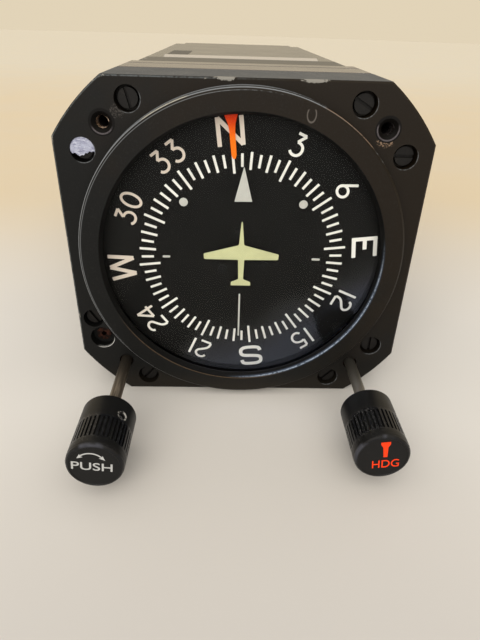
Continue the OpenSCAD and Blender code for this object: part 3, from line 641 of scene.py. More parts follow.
def front_paint(sizes):
    """Satin black paint, with its edges, chips and scratches worn down to the casting."""
    finish = Finish("front_paint")
    x, y, z = finish.x, finish.y, finish.z
    radius, _, outside = rim_distance(finish, sizes)
    cloud = finish.noise(9, 3)
    grain = finish.noise(0.35, 3)
    fine = finish.noise(0.7, 4, 0.65)
    mottle = fine + grain * 0.5
    ring = sizes.ring_radius
    ring_face = y.rises((0.1 - RING_HEIGHT) * MM, -RING_HEIGHT * MM)
    ring_foot = y.rises(-0.0006, -0.0004)
    flange_face = y.rises(0.001, 0.0004)

    def towards(right, up):
        """How far a place lies towards a direction from the dial's axis, at any radius."""
        return (x * right + z * up) / (radius + 0.001)

    # Thin grey lines run around the ring's outer corner, its face and its foot: worn edges with
    # painted highlights, strongest at the top and the left. A dimmer one marks the foot at the
    # right.
    left = towards(-0.95, 0.55)
    corner = radius.between(ring - 0.00014, ring + 0.0001, 0.00008)
    corner = corner * y.between(-0.00268, -0.0024, 0.00008) * (left * 0.9 + fine).rises(0.1, 0.7)
    left_highlight = left + fine * 0.8
    foot = radius.between(ring - 0.0001, ring + 0.00012, 0.00006) * ring_foot
    face_highlight = radius.between(ring - 0.00064, ring - 0.00052, 0.00005) * ring_face
    line = corner.most(foot * left_highlight.rises(0.4, 0.9) * 0.8)
    line = line.most(face_highlight * left_highlight.rises(0.7, 1.1) * 0.55)
    foot_right = radius.between(ring - 0.0001, ring + 0.00025, 0.00008) * ring_foot
    foot_right = foot_right * towards(1, -0.3).rises(0.7, 0.95) * fine.rises(0.25, 0.5)
    # Dust and a painted bluish sheen on the ring's side, strongest at the left, and two pairs of
    # scratches on it, cream at the upper left and brown at the upper right
    side_wall = radius.between(ring - 0.0001, ring + 0.0002) * y.rises(-0.0002, -0.0004)
    dust_and_sheen_wall = side_wall * left.rises(0.3, 0.9) * (0.25 + fine * 0.5)
    pair = abs(y + 0.0025).rises(0.00024, 0.0001).most(abs(y + 0.0011).rises(0.0002, 0.00008))
    pair = pair * side_wall * z.rises(0, 0.001)
    cream = pair * x.between(-0.0215, -0.0135, 0.0015) * fine.rises(0.25, 0.45)
    brown = pair * x.between(0.0172, 0.0275, 0.001) * fine.rises(0.3, 0.5)
    # Chips and rubbed paint at the flange's edge, and a painted bluish reflection with pale specks
    # on its top
    chips = outside.rises(-0.0006, -0.0003) * y.rises(0.0006, 0.0003)
    chips = chips * (finish.noise(2.6, 4, 0.65) - x).rises(0.64, 0.69)
    chips = chips.most(finish.spot(-4.6, 40.95, 2.8, 0.75, fine) * y.rises(0.0016, 0.001))
    chips = chips.most(finish.spot(14.3, 40.9, 3.4, 0.75, fine) * y.rises(0.0012, 0.0006))
    rubbed = outside.rises(-0.00045, -0.00025) * y.rises(0.0004, 0.0002)
    rubbed = rubbed * x.rises(0.01, -0.02) * fine.rises(0.3, 0.6)
    height = sizes.half_height
    top = z.rises(height - 0.0005, height - 0.0001) * y.rises(0.0003, 0.0006)
    specks = top * finish.noise(0.6, 3, 0.7).rises(0.6, 0.68)
    # A hook-shaped mark on the ring's face, and scuffs beside two fastenings
    hook = abs(distance(x - 0.01375, (z - 0.0345) * 0.62) - 0.00095).rises(0.00018, 0.00005)
    hook = hook * z.rises(0.0357, 0.0353) * ring_face
    crumbs = finish.spot(31.2, 28.6, 2.4, 1.3, fine) * flange_face
    crumbs = crumbs * finish.noise(0.45, 2).rises(0.46, 0.56)
    scuffs = finish.spot(-27.9, 33.8, 1.9, 1.7, fine) * flange_face
    scuffs = scuffs * finish.noise(0.35, 3, 0.7).rises(0.48, 0.62)
    # Painted highlights: grey arcs at the right of some counterbores, a white one at the open bore
    arcs = []
    for angle in (side + turn for side in (-45, 45, 135) for turn in (-SCREW_TURN, SCREW_TURN)):
        px, pz = screw_place(angle)
        dx, dz = x - px * MM, z - pz * MM
        rim = abs(distance(dx, dz) - COUNTERBORE * MM).rises(0.00018, 0.00004)
        arcs.append(rim * (dx - dz).rises(0.0005, 0.0025))
    counterbore_highlights = reduce(Signal.most, arcs) * abs(y).rises(0.0004, 0.00015) * fine.rises(0.3, 0.6) * 0.6
    dx, dz = (axis - place * MM for axis, place in zip((x, z), OPEN_BORE_PLACE))
    crescent_highlight = abs(distance(dx, dz) - OPEN_BORE * MM).rises(0.0001, 0.00003)
    crescent_highlight = crescent_highlight * (dx * 0.6 - dz).rises(0.0016, 0.003) * y.rises(0.0009, 0.0005)
    # The lip around the glass is painted near black as shade, with a painted bluish reflection and
    # a painted highlight line at the lower right, and a brown line at the bottom.
    edge = LIP_RADIUS * MM
    shaded_lip = radius.rises(edge + 0.00015, edge)
    lower_right = towards(1, -0.9).rises(0.75, 1.15)
    lip_reflection = radius.between(edge - 0.00025, edge + 0.00012, 0.0001)
    lip_reflection = lip_reflection * lower_right * mottle.rises(0.35, 0.75)
    lip_highlight = radius.between(edge - 0.00014, edge - 0.00006, 0.00005)
    lip_highlight = lip_highlight * lower_right * mottle.rises(0.55, 0.85)
    brown_lip = radius.between(edge + 0.0001, edge + 0.00026, 0.00006)
    brown_lip = brown_lip * towards(-0.35, -1).rises(0.7, 0.95) * fine.rises(0.2, 0.5)
    # The paint is neutral at the lower left and browner towards the upper right.
    warm = [channel * by for channel, by in zip(sizes.paint, (2.6, 1.5, 0.6))]
    colour = finish.coats(
        sizes.paint,
        (((x + z) * 14 + cloud).rises(0.2, 1.2), warm),
        (z.rises(-0.032, -0.039) * 0.9, (0.012, 0.0092, 0.006)),
        (grain.rises(0.5, 0.8) * 0.3, (0.024, 0.023, 0.02)),
        # Painted shade on the lip, then a painted reflection and a highlight line at its lower
        # right
        (shaded_lip, (0.0008, 0.0008, 0.0008)),
        (lip_reflection, (0.05, 0.065, 0.09)),
        (lip_highlight, (0.36, 0.4, 0.45)),
        (foot_right, (0.075, 0.062, 0.064)),
        (brown_lip, (0.085, 0.055, 0.03)),
        # Painted bluish reflection on the flange's top face
        (top, (0.036, 0.046, 0.062)),
        # Painted bluish sheen, with dust, on the ring's side
        (dust_and_sheen_wall, (0.075, 0.085, 0.095)),
        (rubbed * 0.8, (0.11, 0.12, 0.12)),
        (scuffs, (0.06, 0.052, 0.045)),
        # Painted highlights on the ring's edges and the counterbores' rims, and dust specks on the
        # top
        (line.most(counterbore_highlights).most(specks * 0.8), (0.19, 0.195, 0.195)),
        (brown.most(crumbs), (0.2, 0.13, 0.08)),
        (cream, (0.42, 0.38, 0.29)),
        (chips, fade(sizes.bare, 0.6)),
        # Painted highlight on the open bore's rim
        (crescent_highlight, (0.6, 0.58, 0.53)),
        (hook, (0.1, 0.085, 0.07)),
    )
    worn = chips.most(cream).most(line)
    return finish.surface(
        base_color=colour,
        roughness=0.38 + cloud * 0.14 + grain * 0.12 + shaded_lip * 0.2 - top * 0.06,
        specular_ior_level=0.18,
        normal=finish.bump(grain * 0.5 + cloud * 0.3 - worn * 0.5, 0.02),
    )


def case_paint(sizes, name):
    """Smooth dark paint that mirrors the room at a low angle, bare on the pads' front slopes."""
    finish = Finish(name)
    x, y, z = finish.x, finish.y, finish.z
    radius, sides, outside = rim_distance(finish, sizes)
    cloud = finish.noise(14, 3)
    grain = finish.noise(0.5, 3)
    streaks = finish.noise(1.6, 3, 0.6, finish.at(stretch=(0.16, 1, 1)))
    aslant = finish.at(turn=(0.3, 0.2, 0.5), stretch=(1, 0.35, 1))
    scuffs = finish.noise(3.2, 5, 0.7, aslant).rises(0.68, 0.74)
    corner = (sides + radius - sizes.corner_radius).rises(-0.0022, -0.0014)
    corner = corner * outside.rises(-0.0012, -0.0008) * finish.noise(2.2, 4, 0.7).rises(0.58, 0.66)
    band_end, pad_side = BAND_END * MM, PAD_HALF_WIDTH * MM
    slope_low, slope_high = (place * MM for place in PAD_SLOPE)
    slope = abs(z).rises(sizes.half_height - 0.0007, sizes.half_height - 0.0005)
    slope = slope * abs(x).rises(pad_side + 0.0006, pad_side)
    slope = slope * y.between(slope_low, slope_high, 0.0003)
    recess = y.between(band_end, slope_low - 0.0002, 0.0004)
    patch = x.between(-0.0245, -0.0178, 0.0003) * y.between(0.0745, 0.098, 0.001)
    patch = patch * z.rises(0.04, 0.0405)
    bare = corner.most(scuffs * 0.35).most(slope * streaks.rises(0.1, 0.4))
    # The frame's band is painted lighter and browner, in streaks: a painted reflection of the pale
    # room.
    band = y.rises(band_end + 0.0004, band_end - 0.0004)
    band = band * (0.45 + streaks.rises(0.2, 0.8) * 0.3)
    return finish.surface(
        base_color=finish.coats(
            sizes.case_paint,
            (cloud.rises(0.3, 0.7), fade(sizes.case_paint, 1.35)),
            (band, (0.13, 0.105, 0.09)),
            (grain.rises(0.6, 0.85) * 0.3, (0.11, 0.1, 0.09)),
            (bare, (0.62, 0.58, 0.54)),
        ),
        roughness=0.17 + cloud * 0.08 + grain * 0.05 + recess * 0.16 + patch * 0.25,
        metallic=bare * 0.6,
        normal=finish.bump(grain * 0.4 + streaks * 0.3 + cloud * 0.4 - bare * 0.3, 0.012),
    )


def seal_rubber():
    finish = Finish("seal_rubber")
    grain = finish.noise(0.4, 3)
    cloud = finish.noise(6, 2)
    black = (0.02, 0.019, 0.018)
    return finish.surface(
        base_color=finish.mix(grain * 0.5 + cloud * 0.3, black, fade(black, 2.2)),
        roughness=0.62 + grain * 0.2,
        normal=finish.bump(grain, 0.02),
    )


def black_steel(name, colour):
    """Blackened steel with its colour rubbed thin in places."""
    finish = Finish(name)
    cloud = finish.noise(1.6, 4, 0.6)
    grain = finish.noise(0.12, 2)
    rubbed = cloud.rises(0.55, 0.75)
    return finish.surface(
        base_color=finish.mix(rubbed * 0.6, colour, fade(colour, 3)),
        roughness=0.36 + grain * 0.22 - rubbed * 0.08,
        metallic=0.3 + rubbed * 0.3,
        specular_ior_level=0.22,
        normal=finish.bump(grain * 0.6 + cloud * 0.4, 0.012),
    )


def painted_brass():
    """Brass with black paint on its front end, a painted highlight at its opening and painted shade
    inside.
    """
    finish = Finish("insert_brass")
    x, y, z = finish.x, finish.y, finish.z
    stain = finish.noise(1.4, 4, 0.6)
    tool = finish.noise(0.25, 2, 0.6, finish.at(stretch=(1, 1, 0.1)))
    painted = y.rises(0.0016, 0.0009) * (stain + 0.35).rises(0.35, 0.45)
    # The sleeve at the bottom of the open bore: stained brown and near black, darkened as painted
    # shade
    shaded_tube = finish.mix(stain.rises(0.42, 0.58), (0.008, 0.005, 0.004), (0.045, 0.016, 0.01))
    # A painted highlight: a pale arc on the mouth of each mounting insert, below and, on the right
    # insert, beside it
    out = SHAFT_OUT * MM
    dx, dz = abs(x - out).least(abs(x + out)), z - out
    mouth_highlight = distance(dx, dz).between(0.00226, 0.00252, 0.00006)
    mouth_highlight = mouth_highlight * (dx * (x.rises(0, 0.001) * 0.8 + 0.2) - dz).rises(0.001, 0.0022)
    mouth_highlight = mouth_highlight * y.rises(0.0003, 0.0001) * (stain + tool * 0.4).rises(0.45, 0.7)
    return finish.surface(
        base_color=finish.coats(
            (0.03, 0.017, 0.012),
            (stain.rises(0.35, 0.7), (0.01, 0.007, 0.006)),
            # Painted shade, darker deeper inside
            (y.rises(0.002, 0.004), (0.006, 0.004, 0.004)),
            (z.rises(0, -0.001), shaded_tube),
            (painted, (0.0028, 0.0022, 0.0018)),
            (mouth_highlight * 0.8, (0.11, 0.095, 0.095)),
        ),
        roughness=0.34 + tool * 0.1 + painted * 0.12,
        metallic=(1 - painted) * 0.5,
        specular_ior_level=0.12,
        normal=finish.bump(tool + stain * 0.5, 0.01),
    )


def worked_metal(name, colour, roughness, lines, line_mm=0.25):
    """Machined metal with fine tool lines and stains."""
    finish = Finish(name)
    tool = finish.noise(line_mm, 2, 0.6, finish.at(stretch=lines))
    stain = finish.noise(4.5, 4, 0.6)
    return finish.surface(
        base_color=finish.coats(
            colour, (stain.rises(0.4, 0.75), fade(colour, 0.68)), (tool * 0.35, fade(colour, 1.2))
        ),
        roughness=roughness + stain * 0.14 + tool * 0.08 - 0.08,
        metallic=1.0,
        normal=finish.bump(tool, 0.008),
    )


def shaft_steel(name, colour, streaks):
    """Dull steel, darker towards the flange, with pale and dark streaks along the shaft."""
    finish = Finish(name)
    along = finish.at(stretch=(1, 0.05, 1))
    pale = finish.noise(0.6, 2, 0.6, along).rises(0.4, 0.65)
    dark = finish.noise(1.1, 2, 0.6, along).rises(0.5, 0.7)
    toward_knob = finish.y.rises(-0.002, -0.016)
    metal = finish.coats(
        colour,
        (dark * 0.6, fade(colour, 0.4)),
        (pale * toward_knob * 0.4, fade((0.16, 0.13, 0.095), streaks)),
    )
    return finish.surface(
        base_color=finish.mix(toward_knob * 0.75 + 0.25, (0.015, 0.013, 0.01), metal),
        roughness=0.42 + dark * 0.1,
        metallic=0.55,
        normal=finish.bump(pale, 0.008),
    )


# How tool lines stretch over a machined part, a turned one and a wound one
FACED, TURNED, WOUND = (1, 1, 0.06), (1, 0.06, 1), (1, 1, 1)
METALS = (
    (
        ("plate_alloy", (0.58, 0.58, 0.57), 0.36, FACED),
        ("front_plate", "plate_posts", "card_hub", "set_carriage", "bug_gear", "filter_ring"),
    ),
    (
        ("gimbal_alloy", (0.6, 0.61, 0.63), 0.32, TURNED),
        ("outer_gimbal", "rotor_housing", "rotor_covers"),
    ),
    (
        ("gear_brass", (0.66, 0.47, 0.2), 0.28, FACED),
        (
            "gimbal_gear", "card_gear", "set_gear", "set_pinion", "hdg_pinion", "set_idler",
            "hdg_idler",
        ),
    ),
    (
        ("rotor_brass", (0.6, 0.43, 0.19), 0.22, TURNED),
        ("rotor", "bearing_caps", "air_jets", "inlet_tube"),
    ),
    (
        ("bearing_steel", (0.55, 0.55, 0.56), 0.2, FACED),
        (
            "card_bearings", "upper_bearing", "lower_bearing", "tilt_bearings",
            "rotor_bearings", "rotor_shaft", "card_shaft", "caging_pin", "hdg_idler_pin",
            "caging_bar",
        ),
    ),
    (("spring_steel", (0.45, 0.44, 0.43), 0.26, WOUND, 0.4), ("set_spring",)),
)


class GYRO_OT_mechanism_finishes(bpy.types.Operator):
    """Give the gyro, the gears, the shafts and the fittings their metals"""

    bl_idname = "gyro.mechanism_finishes"
    bl_label = "Mechanism finishes"

    def execute(self, context):
        for metal, names in METALS:
            dress(worked_metal(*metal), *names)
        dress(shaft_steel("shaft_steel", (0.22, 0.2, 0.165), 1.6), "hdg_shaft")
        dress(shaft_steel("tarnished_steel", (0.12, 0.095, 0.068), 4), "set_shaft")
        clips = ("bug_gear_clip", "carrier_clip")
        screws = ("plate_screws", "gimbal_gear_screws", "cover_screws")
        dress(black_steel("clip_black", (0.06, 0.06, 0.06)), *clips, *screws)
        dress(foam_finish(), "inlet_filter")
        return {"FINISHED"}


def foam_finish():
    finish = Finish("filter_foam")
    sockets = {"Vector": finish.place, "Scale": 2600}
    cells = finish.add("ShaderNodeTexVoronoi", {"feature": "F1"}, sockets)
    wall = Signal(finish, cells.outputs["Distance"])
    return finish.surface(
        base_color=finish.mix(wall.rises(0.1, 0.55), (0.16, 0.15, 0.12), (0.72, 0.7, 0.62)),
        roughness=0.9,
        normal=finish.bump(wall, 0.15),
    )


class GYRO_OT_dial_finishes(bpy.types.Operator):
    """Finish the glass, the card, its hub's screws and the heading bug"""

    bl_idname = "gyro.dial_finishes"
    bl_label = "Dial finishes"

    def execute(self, context):
        sizes = context.scene.gyro_dial
        dress(glass_finish(), "cover_glass")
        dress(card_finish("card_paint", sizes.card_paint), "compass_card", "bug_carrier")
        dress(bug_paint(sizes), "heading_bug")
        dress(card_finish("hub_screw_black", (0.005, 0.005, 0.005)), "hub_screws")
        return {"FINISHED"}


def glass_finish():
    """Clear glass: a mirror film that grows towards the edge of sight, over nothing."""
    finish = Finish("cover_glass")
    dust = finish.noise(0.5, 4, 0.7).rises(0.62, 0.8)
    # A painted bluish reflection grows towards the lower right, in the film's colour, strength and
    # blur.
    blue_reflection = (finish.noise(30, 2) * 0.4 + finish.x * 9 - finish.z * 14).rises(0.42, 0.66)
    fresnel = Signal(finish, finish.add("ShaderNodeFresnel", None, {"IOR": 1.45}).outputs[0])
    film = finish.principled(
        base_color=finish.mix(blue_reflection, (0.9, 0.9, 0.88), (0.6, 0.7, 1.0)),
        metallic=1.0,
        roughness=0.02 + dust * 0.1 + blue_reflection * 0.06,
    )
    tint = {"Color": (0.985, 0.99, 0.985, 1)}
    clear = finish.add("ShaderNodeBsdfTransparent", None, tint).outputs[0]
    sockets = {0: fresnel * (0.07 + blue_reflection * 0.85), 1: clear, 2: film}
    return finish.done(finish.add("ShaderNodeMixShader", None, sockets).outputs[0])


def card_finish(name, colour):
    """Matt black with a fine grain."""
    finish = Finish(name)
    grain = finish.noise(0.22, 3)
    uneven = finish.noise(12, 3).rises(0.3, 0.7) * 0.6 + grain * 0.3
    return finish.surface(
        base_color=finish.mix(uneven, colour, fade(colour, 1.9)),
        roughness=0.6 + grain * 0.2,
        specular_ior_level=0.15,
        normal=finish.bump(grain, 0.01),
    )


def brushed(finish, where, fresh, turned, roughness, specular=0.2, grain_mm=0.25):
    """Printed or brushed paint that turns from one colour to another."""
    grain = finish.noise(grain_mm, 3)
    return finish.surface(
        base_color=finish.mix(where, fresh, turned),
        roughness=roughness + grain * 0.15,
        specular_ior_level=specular,
        normal=finish.bump(grain, 0.006),
    )


def bug_paint(sizes):
    """Orange paint, painted darker red towards the bug's wide end as shade under the bezel."""
    finish = Finish("bug_paint")
    red = (finish.z + (finish.noise(1.5, 2) - 0.5) * 0.001).rises(0.0275, 0.0335)
    return brushed(finish, red, sizes.bug_paint, (0.78, 0.04, 0.002), 0.45, specular=0.12)


def print_ink(name, colour, roughness, grain_mm=0.25):
    """Ink of one colour, slightly uneven."""
    finish = Finish(name)
    uneven = finish.noise(4, 2).rises(0.25, 0.75)
    return brushed(finish, uneven, colour, fade(colour, 0.88), roughness, grain_mm=grain_mm)


def aged_ink(sizes):
    """The card's white ink, turned beige on the letters at the left and the top."""
    finish = Finish("card_ink")
    turned = finish.z * 0.6 - finish.x + (finish.noise(6, 2) - 0.5) * 0.01
    return brushed(finish, turned.rises(0.008, 0.02), sizes.card_ink, (0.7, 0.59, 0.49), 0.5)


class GYRO_OT_card_ticks(bpy.types.Operator):
    """Print the ticks on the compass card, one for every five degrees"""

    bl_idname = "gyro.card_ticks"
    bl_label = "Card ticks"

    def execute(self, context):
        sizes = context.scene.gyro_dial
        marks = []
        for step, (low, high) in TICKS.items():
            outline = stroke_outline([(0, low), (0, high)], sizes.tick_width / MM, 0.08)
            first = flat_shape([outline], sizes.ink_height / MM)
            for heading in range(0, 360, 5):
                # Each heading gets the longest tick whose step it falls on.
                if step == next(s for s in TICKS if heading % s == 0):
                    angle = 90 - heading + math.degrees(sizes.card_turn)
                    marks.append(copied(first, front_place(angle, y=CARD_FACE)))
            bpy.data.objects.remove(first)
        ink = print_ink("card_ink_ticks", sizes.card_ink, 0.5)
        settled(joined("card_ticks", *marks), ink, "card")
        return {"FINISHED"}


class GYRO_OT_card_characters(bpy.types.Operator):
    """Print the letters and numbers on the compass card"""

    bl_idname = "gyro.card_characters"
    bl_label = "Card characters"

    def execute(self, context):
        sizes = context.scene.gyro_dial
        firsts = {}
        for shapes, pen in ((DIGITS, sizes.digit_pen), (LETTERS, sizes.letter_pen)):
            for key, strokes in shapes.items():
                firsts[key] = character(strokes, pen / MM, sizes.ink_height / MM)
        marks = []
        for heading, row in CARD_MARKS:
            angle = 90 - heading + math.degrees(sizes.card_turn)
            for key, right in row:
                place = front_place(angle, y=CARD_FACE) @ drawn(right, 0)
                marks.append(copied(firsts[key], place))
        for first in firsts.values():
            bpy.data.objects.remove(first)
        settled(joined("card_characters", *marks), aged_ink(sizes), "card")
        return {"FINISHED"}


class GYRO_OT_glass_marks(bpy.types.Operator):
    """Print the pointer, dots and bars on the back of the glass"""

    bl_idname = "gyro.glass_marks"
    bl_label = "Glass marks"

    def execute(self, context):
        sizes = context.scene.gyro_dial
        pointer = [(-2.2, 14.4), (2.0, 14.45), (-0.02, 22.4), (-0.18, 22.4)]
        dots = [arc((x, 14.05), (1.02, 1.02), 0, 360, 28)[:-1] for x in (-14.2, 14.2)]
        bars = [
            stroke_outline([(-19.8, 0.1), (-17.9, 0.1)], 0.55, 0.27),
            stroke_outline([(17.5, 0.0), (19.6, -0.05)], 0.55, 0.27),
            stroke_outline([(-0.38, -23.0), (-0.38, -10.1)], 0.42, 0.12),
        ]
        plates = [flat_shape([shape], GLASS_PRINT) for shape in (pointer, *dots, *bars)]
        marks = joined("glass_marks", *plates)
        marks.matrix_world = front_place(y=GLASS_PRINT_Y)
        ink = print_ink("glass_ink", sizes.glass_ink, 0.45)
        settled(marks, ink, "housing")
        return {"FINISHED"}


class GYRO_OT_aeroplane_sign(bpy.types.Operator):
    """Print the fixed aeroplane sign on the back of the glass"""

    bl_idname = "gyro.aeroplane_sign"
    bl_label = "Aeroplane sign"

    def execute(self, context):
        sizes = context.scene.gyro_dial
        half = [
            (0.08, 9.45), (0.2, 8.9), (0.42, 6.2), (0.62, 3.75), (0.8, 3.4), (2.2, 3.0),
            (9.25, 1.12), (9.4, 0.95), (9.3, -0.25), (9.05, -0.4),
            (0.95, -0.5), (0.78, -0.6), (0.7, -3.0), (0.62, -5.7), (0.8, -5.95),
            (2.4, -6.65), (2.5, -6.85), (2.5, -7.65),
        ]
        centre = -0.2
        outline = [(centre + x, z) for x, z in half] + [(centre - x, z) for x, z in half[::-1]]
        plane = joined("aeroplane_sign", flat_shape([outline], GLASS_PRINT))
        plane.matrix_world = front_place(y=GLASS_PRINT_Y)
        settled(plane, print_ink("plane_ink", sizes.plane_ink, 0.45), "housing")
        return {"FINISHED"}


class GYRO_OT_knob_finishes(bpy.types.Operator):
    """Finish both knobs' black mouldings"""

    bl_idname = "gyro.knob_finishes"
    bl_label = "Knob finishes"

    def execute(self, context):
        sizes = context.scene.gyro_knobs
        push = knob_finish("push_knob_black", sizes, -SHAFT_OUT, PUSH_FACE, screw_angle=46)
        heading = knob_finish("hdg_knob_black", sizes, SHAFT_OUT, HDG_FACE, screw_angle=236)
        dress(push, "push_knob")
        dress(heading, "hdg_knob")
        return {"FINISHED"}


def knob_finish(name, sizes, x_mm, face_mm, screw_angle):
    """Black moulding with painted highlights on its polished ridges and rim, and a painted glint at
    the set screw.
    """
    finish = Finish(name)
    dx, dz = finish.x - x_mm * MM, finish.z + SHAFT_OUT * MM
    radius = distance(dx, dz)
    outer = sizes.radius
    depth = finish.y - face_mm * MM
    ridge = radius.rises(outer - 0.00025, outer - 0.00005) * depth.between(0.0029, 0.0092, 0.0008)
    rim = radius.rises(outer - 0.0009, outer - 0.0004) * depth.rises(0.0009, 0.0003)
    grain = finish.noise(0.2, 3)
    cloud = finish.noise(3.5, 3)
    grime = finish.noise(0.9, 4, 0.7).rises(0.55, 0.72) * (1 - ridge)
    polish_and_highlight = ridge.most(rim)
    # The set screw's hole, at its own angle around the knob, with a painted glint on its rim
    along, across = math.cos(math.radians(screw_angle)), math.sin(math.radians(screw_angle))
    mouth_highlight = distance(dz * along - dx * across, depth - SET_SCREW_DEPTH * MM)
    mouth_highlight = mouth_highlight.between(0.00095, 0.00126, 0.0001)
    mouth_highlight = mouth_highlight * (dx * along + dz * across).rises(0.003, 0.004)
    mouth_highlight = mouth_highlight * finish.noise(0.9, 2).rises(0.42, 0.56)
    # Pale nicks on the barrel's left, and painted bluish highlights on the face's rim
    left = (dx * -0.8 + dz * 0.4) / (radius + 0.0001)
    nicks = finish.noise(0.32, 3, 0.7).rises(0.56, 0.64)
    nicks = nicks * radius.rises(outer - 0.0004, outer - 0.0001) * left.rises(0.1, 0.7)
    nicks = nicks * depth.between(0.0022, 0.0095, 0.0015)
    rim_highlight = rim * cloud.rises(0.44, 0.6) * (dz - dx * 0.7).rises(0.001, 0.006)
    return finish.surface(
        base_color=finish.coats(
            sizes.plastic,
            (grime * 0.25, (0.02, 0.018, 0.016)),
            # Painted highlights on the polished ridges and rim, and a bluish one on the rim
            (polish_and_highlight * (0.25 + cloud * 0.5), fade(sizes.plastic, 3.4)),
            (rim_highlight * 0.7, (0.06, 0.06, 0.07)),
            (nicks * 0.7, (0.13, 0.12, 0.11)),
            # Painted glint at the set screw's hole
            (mouth_highlight * 0.9, (0.42, 0.39, 0.34)),
        ),
        roughness=0.36 + grain * 0.12 - polish_and_highlight * 0.22,
        specular_ior_level=0.22,
        normal=finish.bump(grain * 0.6 + cloud * 0.4, 0.015),
    )


def lettering(text, width, height, boldness):
    """Flat lettering whose lower left corner stands at the drawing's origin, in millimetres."""
    half_thick = 0.01
    bpy.ops.object.select_all(action="DESELECT")
    bpy.ops.object.text_add(location=(0, 0, 0))
    item = bpy.context.view_layer.objects.active
    item.data.body = text
    item.data.offset = boldness
    item.data.extrude = half_thick
    item = meshed(item, lift=half_thick, merge=0.0001)
    low = [min(v.co[axis] for v in item.data.vertices) for axis in (0, 1)]
    span = [max(v.co[axis] for v in item.data.vertices) - low[axis] for axis in (0, 1)]
    scale = (width * MM / span[0], height * MM / span[1])
    item.scale = (*scale, KNOB_PRINT * MM / (2 * half_thick))
    item.location = (-low[0] * scale[0], -low[1] * scale[1], 0)
    return applied(item)


class GYRO_OT_push_lettering(bpy.types.Operator):
    """Print PUSH and the two-headed arrow on the left knob's face"""

    bl_idname = "gyro.push_lettering"
    bl_label = "Push knob lettering"

    def execute(self, context):
        sizes = context.scene.gyro_knobs
        word = lettering("PUSH", 8.75, 2.25, 0.006)
        word.matrix_world = drawn(-5.0, -0.72, -6.0)
        bow = arc_through((-3.0, 2.75), (-0.7, 3.75), (2.1, 2.15))
        parts = [applied(word), flat_shape([stroke_outline(bow, 0.3, 0.05)], KNOB_PRINT)]
        # The heads stand a little higher than the bow, so that no faces coincide.
        for tip, before in ((bow[0], bow[3]), (bow[-1], bow[-4])):
            parts.append(flat_shape([arrow_head(tip, before)], KNOB_PRINT * 1.1))
        marks = joined("push_lettering", *parts)
        marks.matrix_world = front_place(x=-SHAFT_OUT, y=PUSH_FACE, z=-SHAFT_OUT)
        ink = print_ink("knob_white_ink", sizes.white_ink, 0.5, 0.12)
        settled(marks, ink, "set_knob")
        return {"FINISHED"}


def arc_through(a, b, c):
    """Points on the circle through three points, from the first to the last."""
    (ax, ay), (bx, by), (cx, cy) = a, b, c
    squares = [px * px + py * py for px, py in (a, b, c)]
    d = 2 * (ax * (by - cy) + bx * (cy - ay) + cx * (ay - by))
    ux = sum(s * w for s, w in zip(squares, (by - cy, cy - ay, ay - by))) / d
    uy = sum(s * w for s, w in zip(squares, (cx - bx, ax - cx, bx - ax))) / d
    radius = math.hypot(ax - ux, ay - uy)
    start = math.degrees(math.atan2(ay - uy, ax - ux))
    end = math.degrees(math.atan2(cy - uy, cx - ux))
    return arc((ux, uy), (radius, radius), start, end, 16)


def arrow_head(tip, before):
    """A barbed head that points away from a point of its shaft."""
    length, half, barb = 1.3, 0.55, 0.35
    tip, head = Vector(tip), (Vector(tip) - Vector(before)).normalized()
    side = Vector((-head.y, head.x)) * half
    nose = tip + head * length * 0.45
    tail = tip - head * length * 0.55
    return [tuple(p) for p in (nose, tail + side, tail + head * barb, tail - side)]


class GYRO_OT_hdg_lettering(bpy.types.Operator):
    """Print HDG and the bug sign on the right knob's face"""

    bl_idname = "gyro.hdg_lettering"
    bl_label = "Heading knob lettering"

    def execute(self, context):
        sizes = context.scene.gyro_knobs
        tilt = 7.3
        word = lettering("HDG", 6.0, 2.3, 0.0)
        word.matrix_world = drawn(-1.9, -3.4, tilt)
        half = [(1.05, 4.75), (1.05, 4.1), (0.55, 3.2), (0.52, 2.6), (0.42, 0.3)]
        sign = flat_shape([half + [(-x, z) for x, z in half[::-1]]], KNOB_PRINT)
        sign.matrix_world = drawn(0.6, -0.15, tilt)
        marks = joined("hdg_lettering", applied(word), applied(sign))
        marks.matrix_world = front_place(x=SHAFT_OUT, y=HDG_FACE, z=-SHAFT_OUT)
        ink = print_ink("knob_orange_ink", sizes.orange_ink, 0.5, 0.12)
        settled(marks, ink, "hdg_knob")
        return {"FINISHED"}


def wound(name, coil, span, x, z):
    """Round wire wound to a helix along Y, in millimetres, for a spring or a thread's ridge."""
    radius, wire, pitch = coil
    per_turn = 24
    start, end = span
    steps = int((end - start) / pitch * per_turn)
    curve = bpy.data.curves.new(name, "CURVE")
    curve.dimensions = "3D"
    curve.bevel_depth = wire * MM
    curve.bevel_resolution = 1
    curve.use_fill_caps = True
    spline = curve.splines.new("POLY")
    spline.points.add(steps)
    for k, point in enumerate(spline.points):
        a = 2 * math.pi * k / per_turn
        y = start + (end - start) * k / steps
        point.co = ((x + radius * math.cos(a)) * MM, y * MM, (z + radius * math.sin(a)) * MM, 1)
    item = bpy.data.objects.new(name, curve)
    bpy.context.scene.collection.objects.link(item)
    item = meshed(item)
    bpy.ops.object.shade_smooth()
    return item


def thread_brass():
    """Brass of the inserts' threads, with painted shade deep in the bore and darker all over at the
    right.
    """
    finish = Finish("thread_brass")
    stain = finish.noise(0.5, 3, 0.6)
    darkened_threads = finish.x.rises(-0.001, 0.001).most(finish.y.rises(0.0022, 0.0035))
    return finish.surface(
        base_color=finish.coats(
            (0.8, 0.62, 0.48),
            (stain.rises(0.35, 0.7), (0.3, 0.17, 0.1)),
            (darkened_threads, (0.012, 0.009, 0.009)),
        ),
        roughness=0.2 + stain * 0.15,
        metallic=1 - darkened_threads * 0.6,
        normal=finish.bump(stain, 0.01),
    )


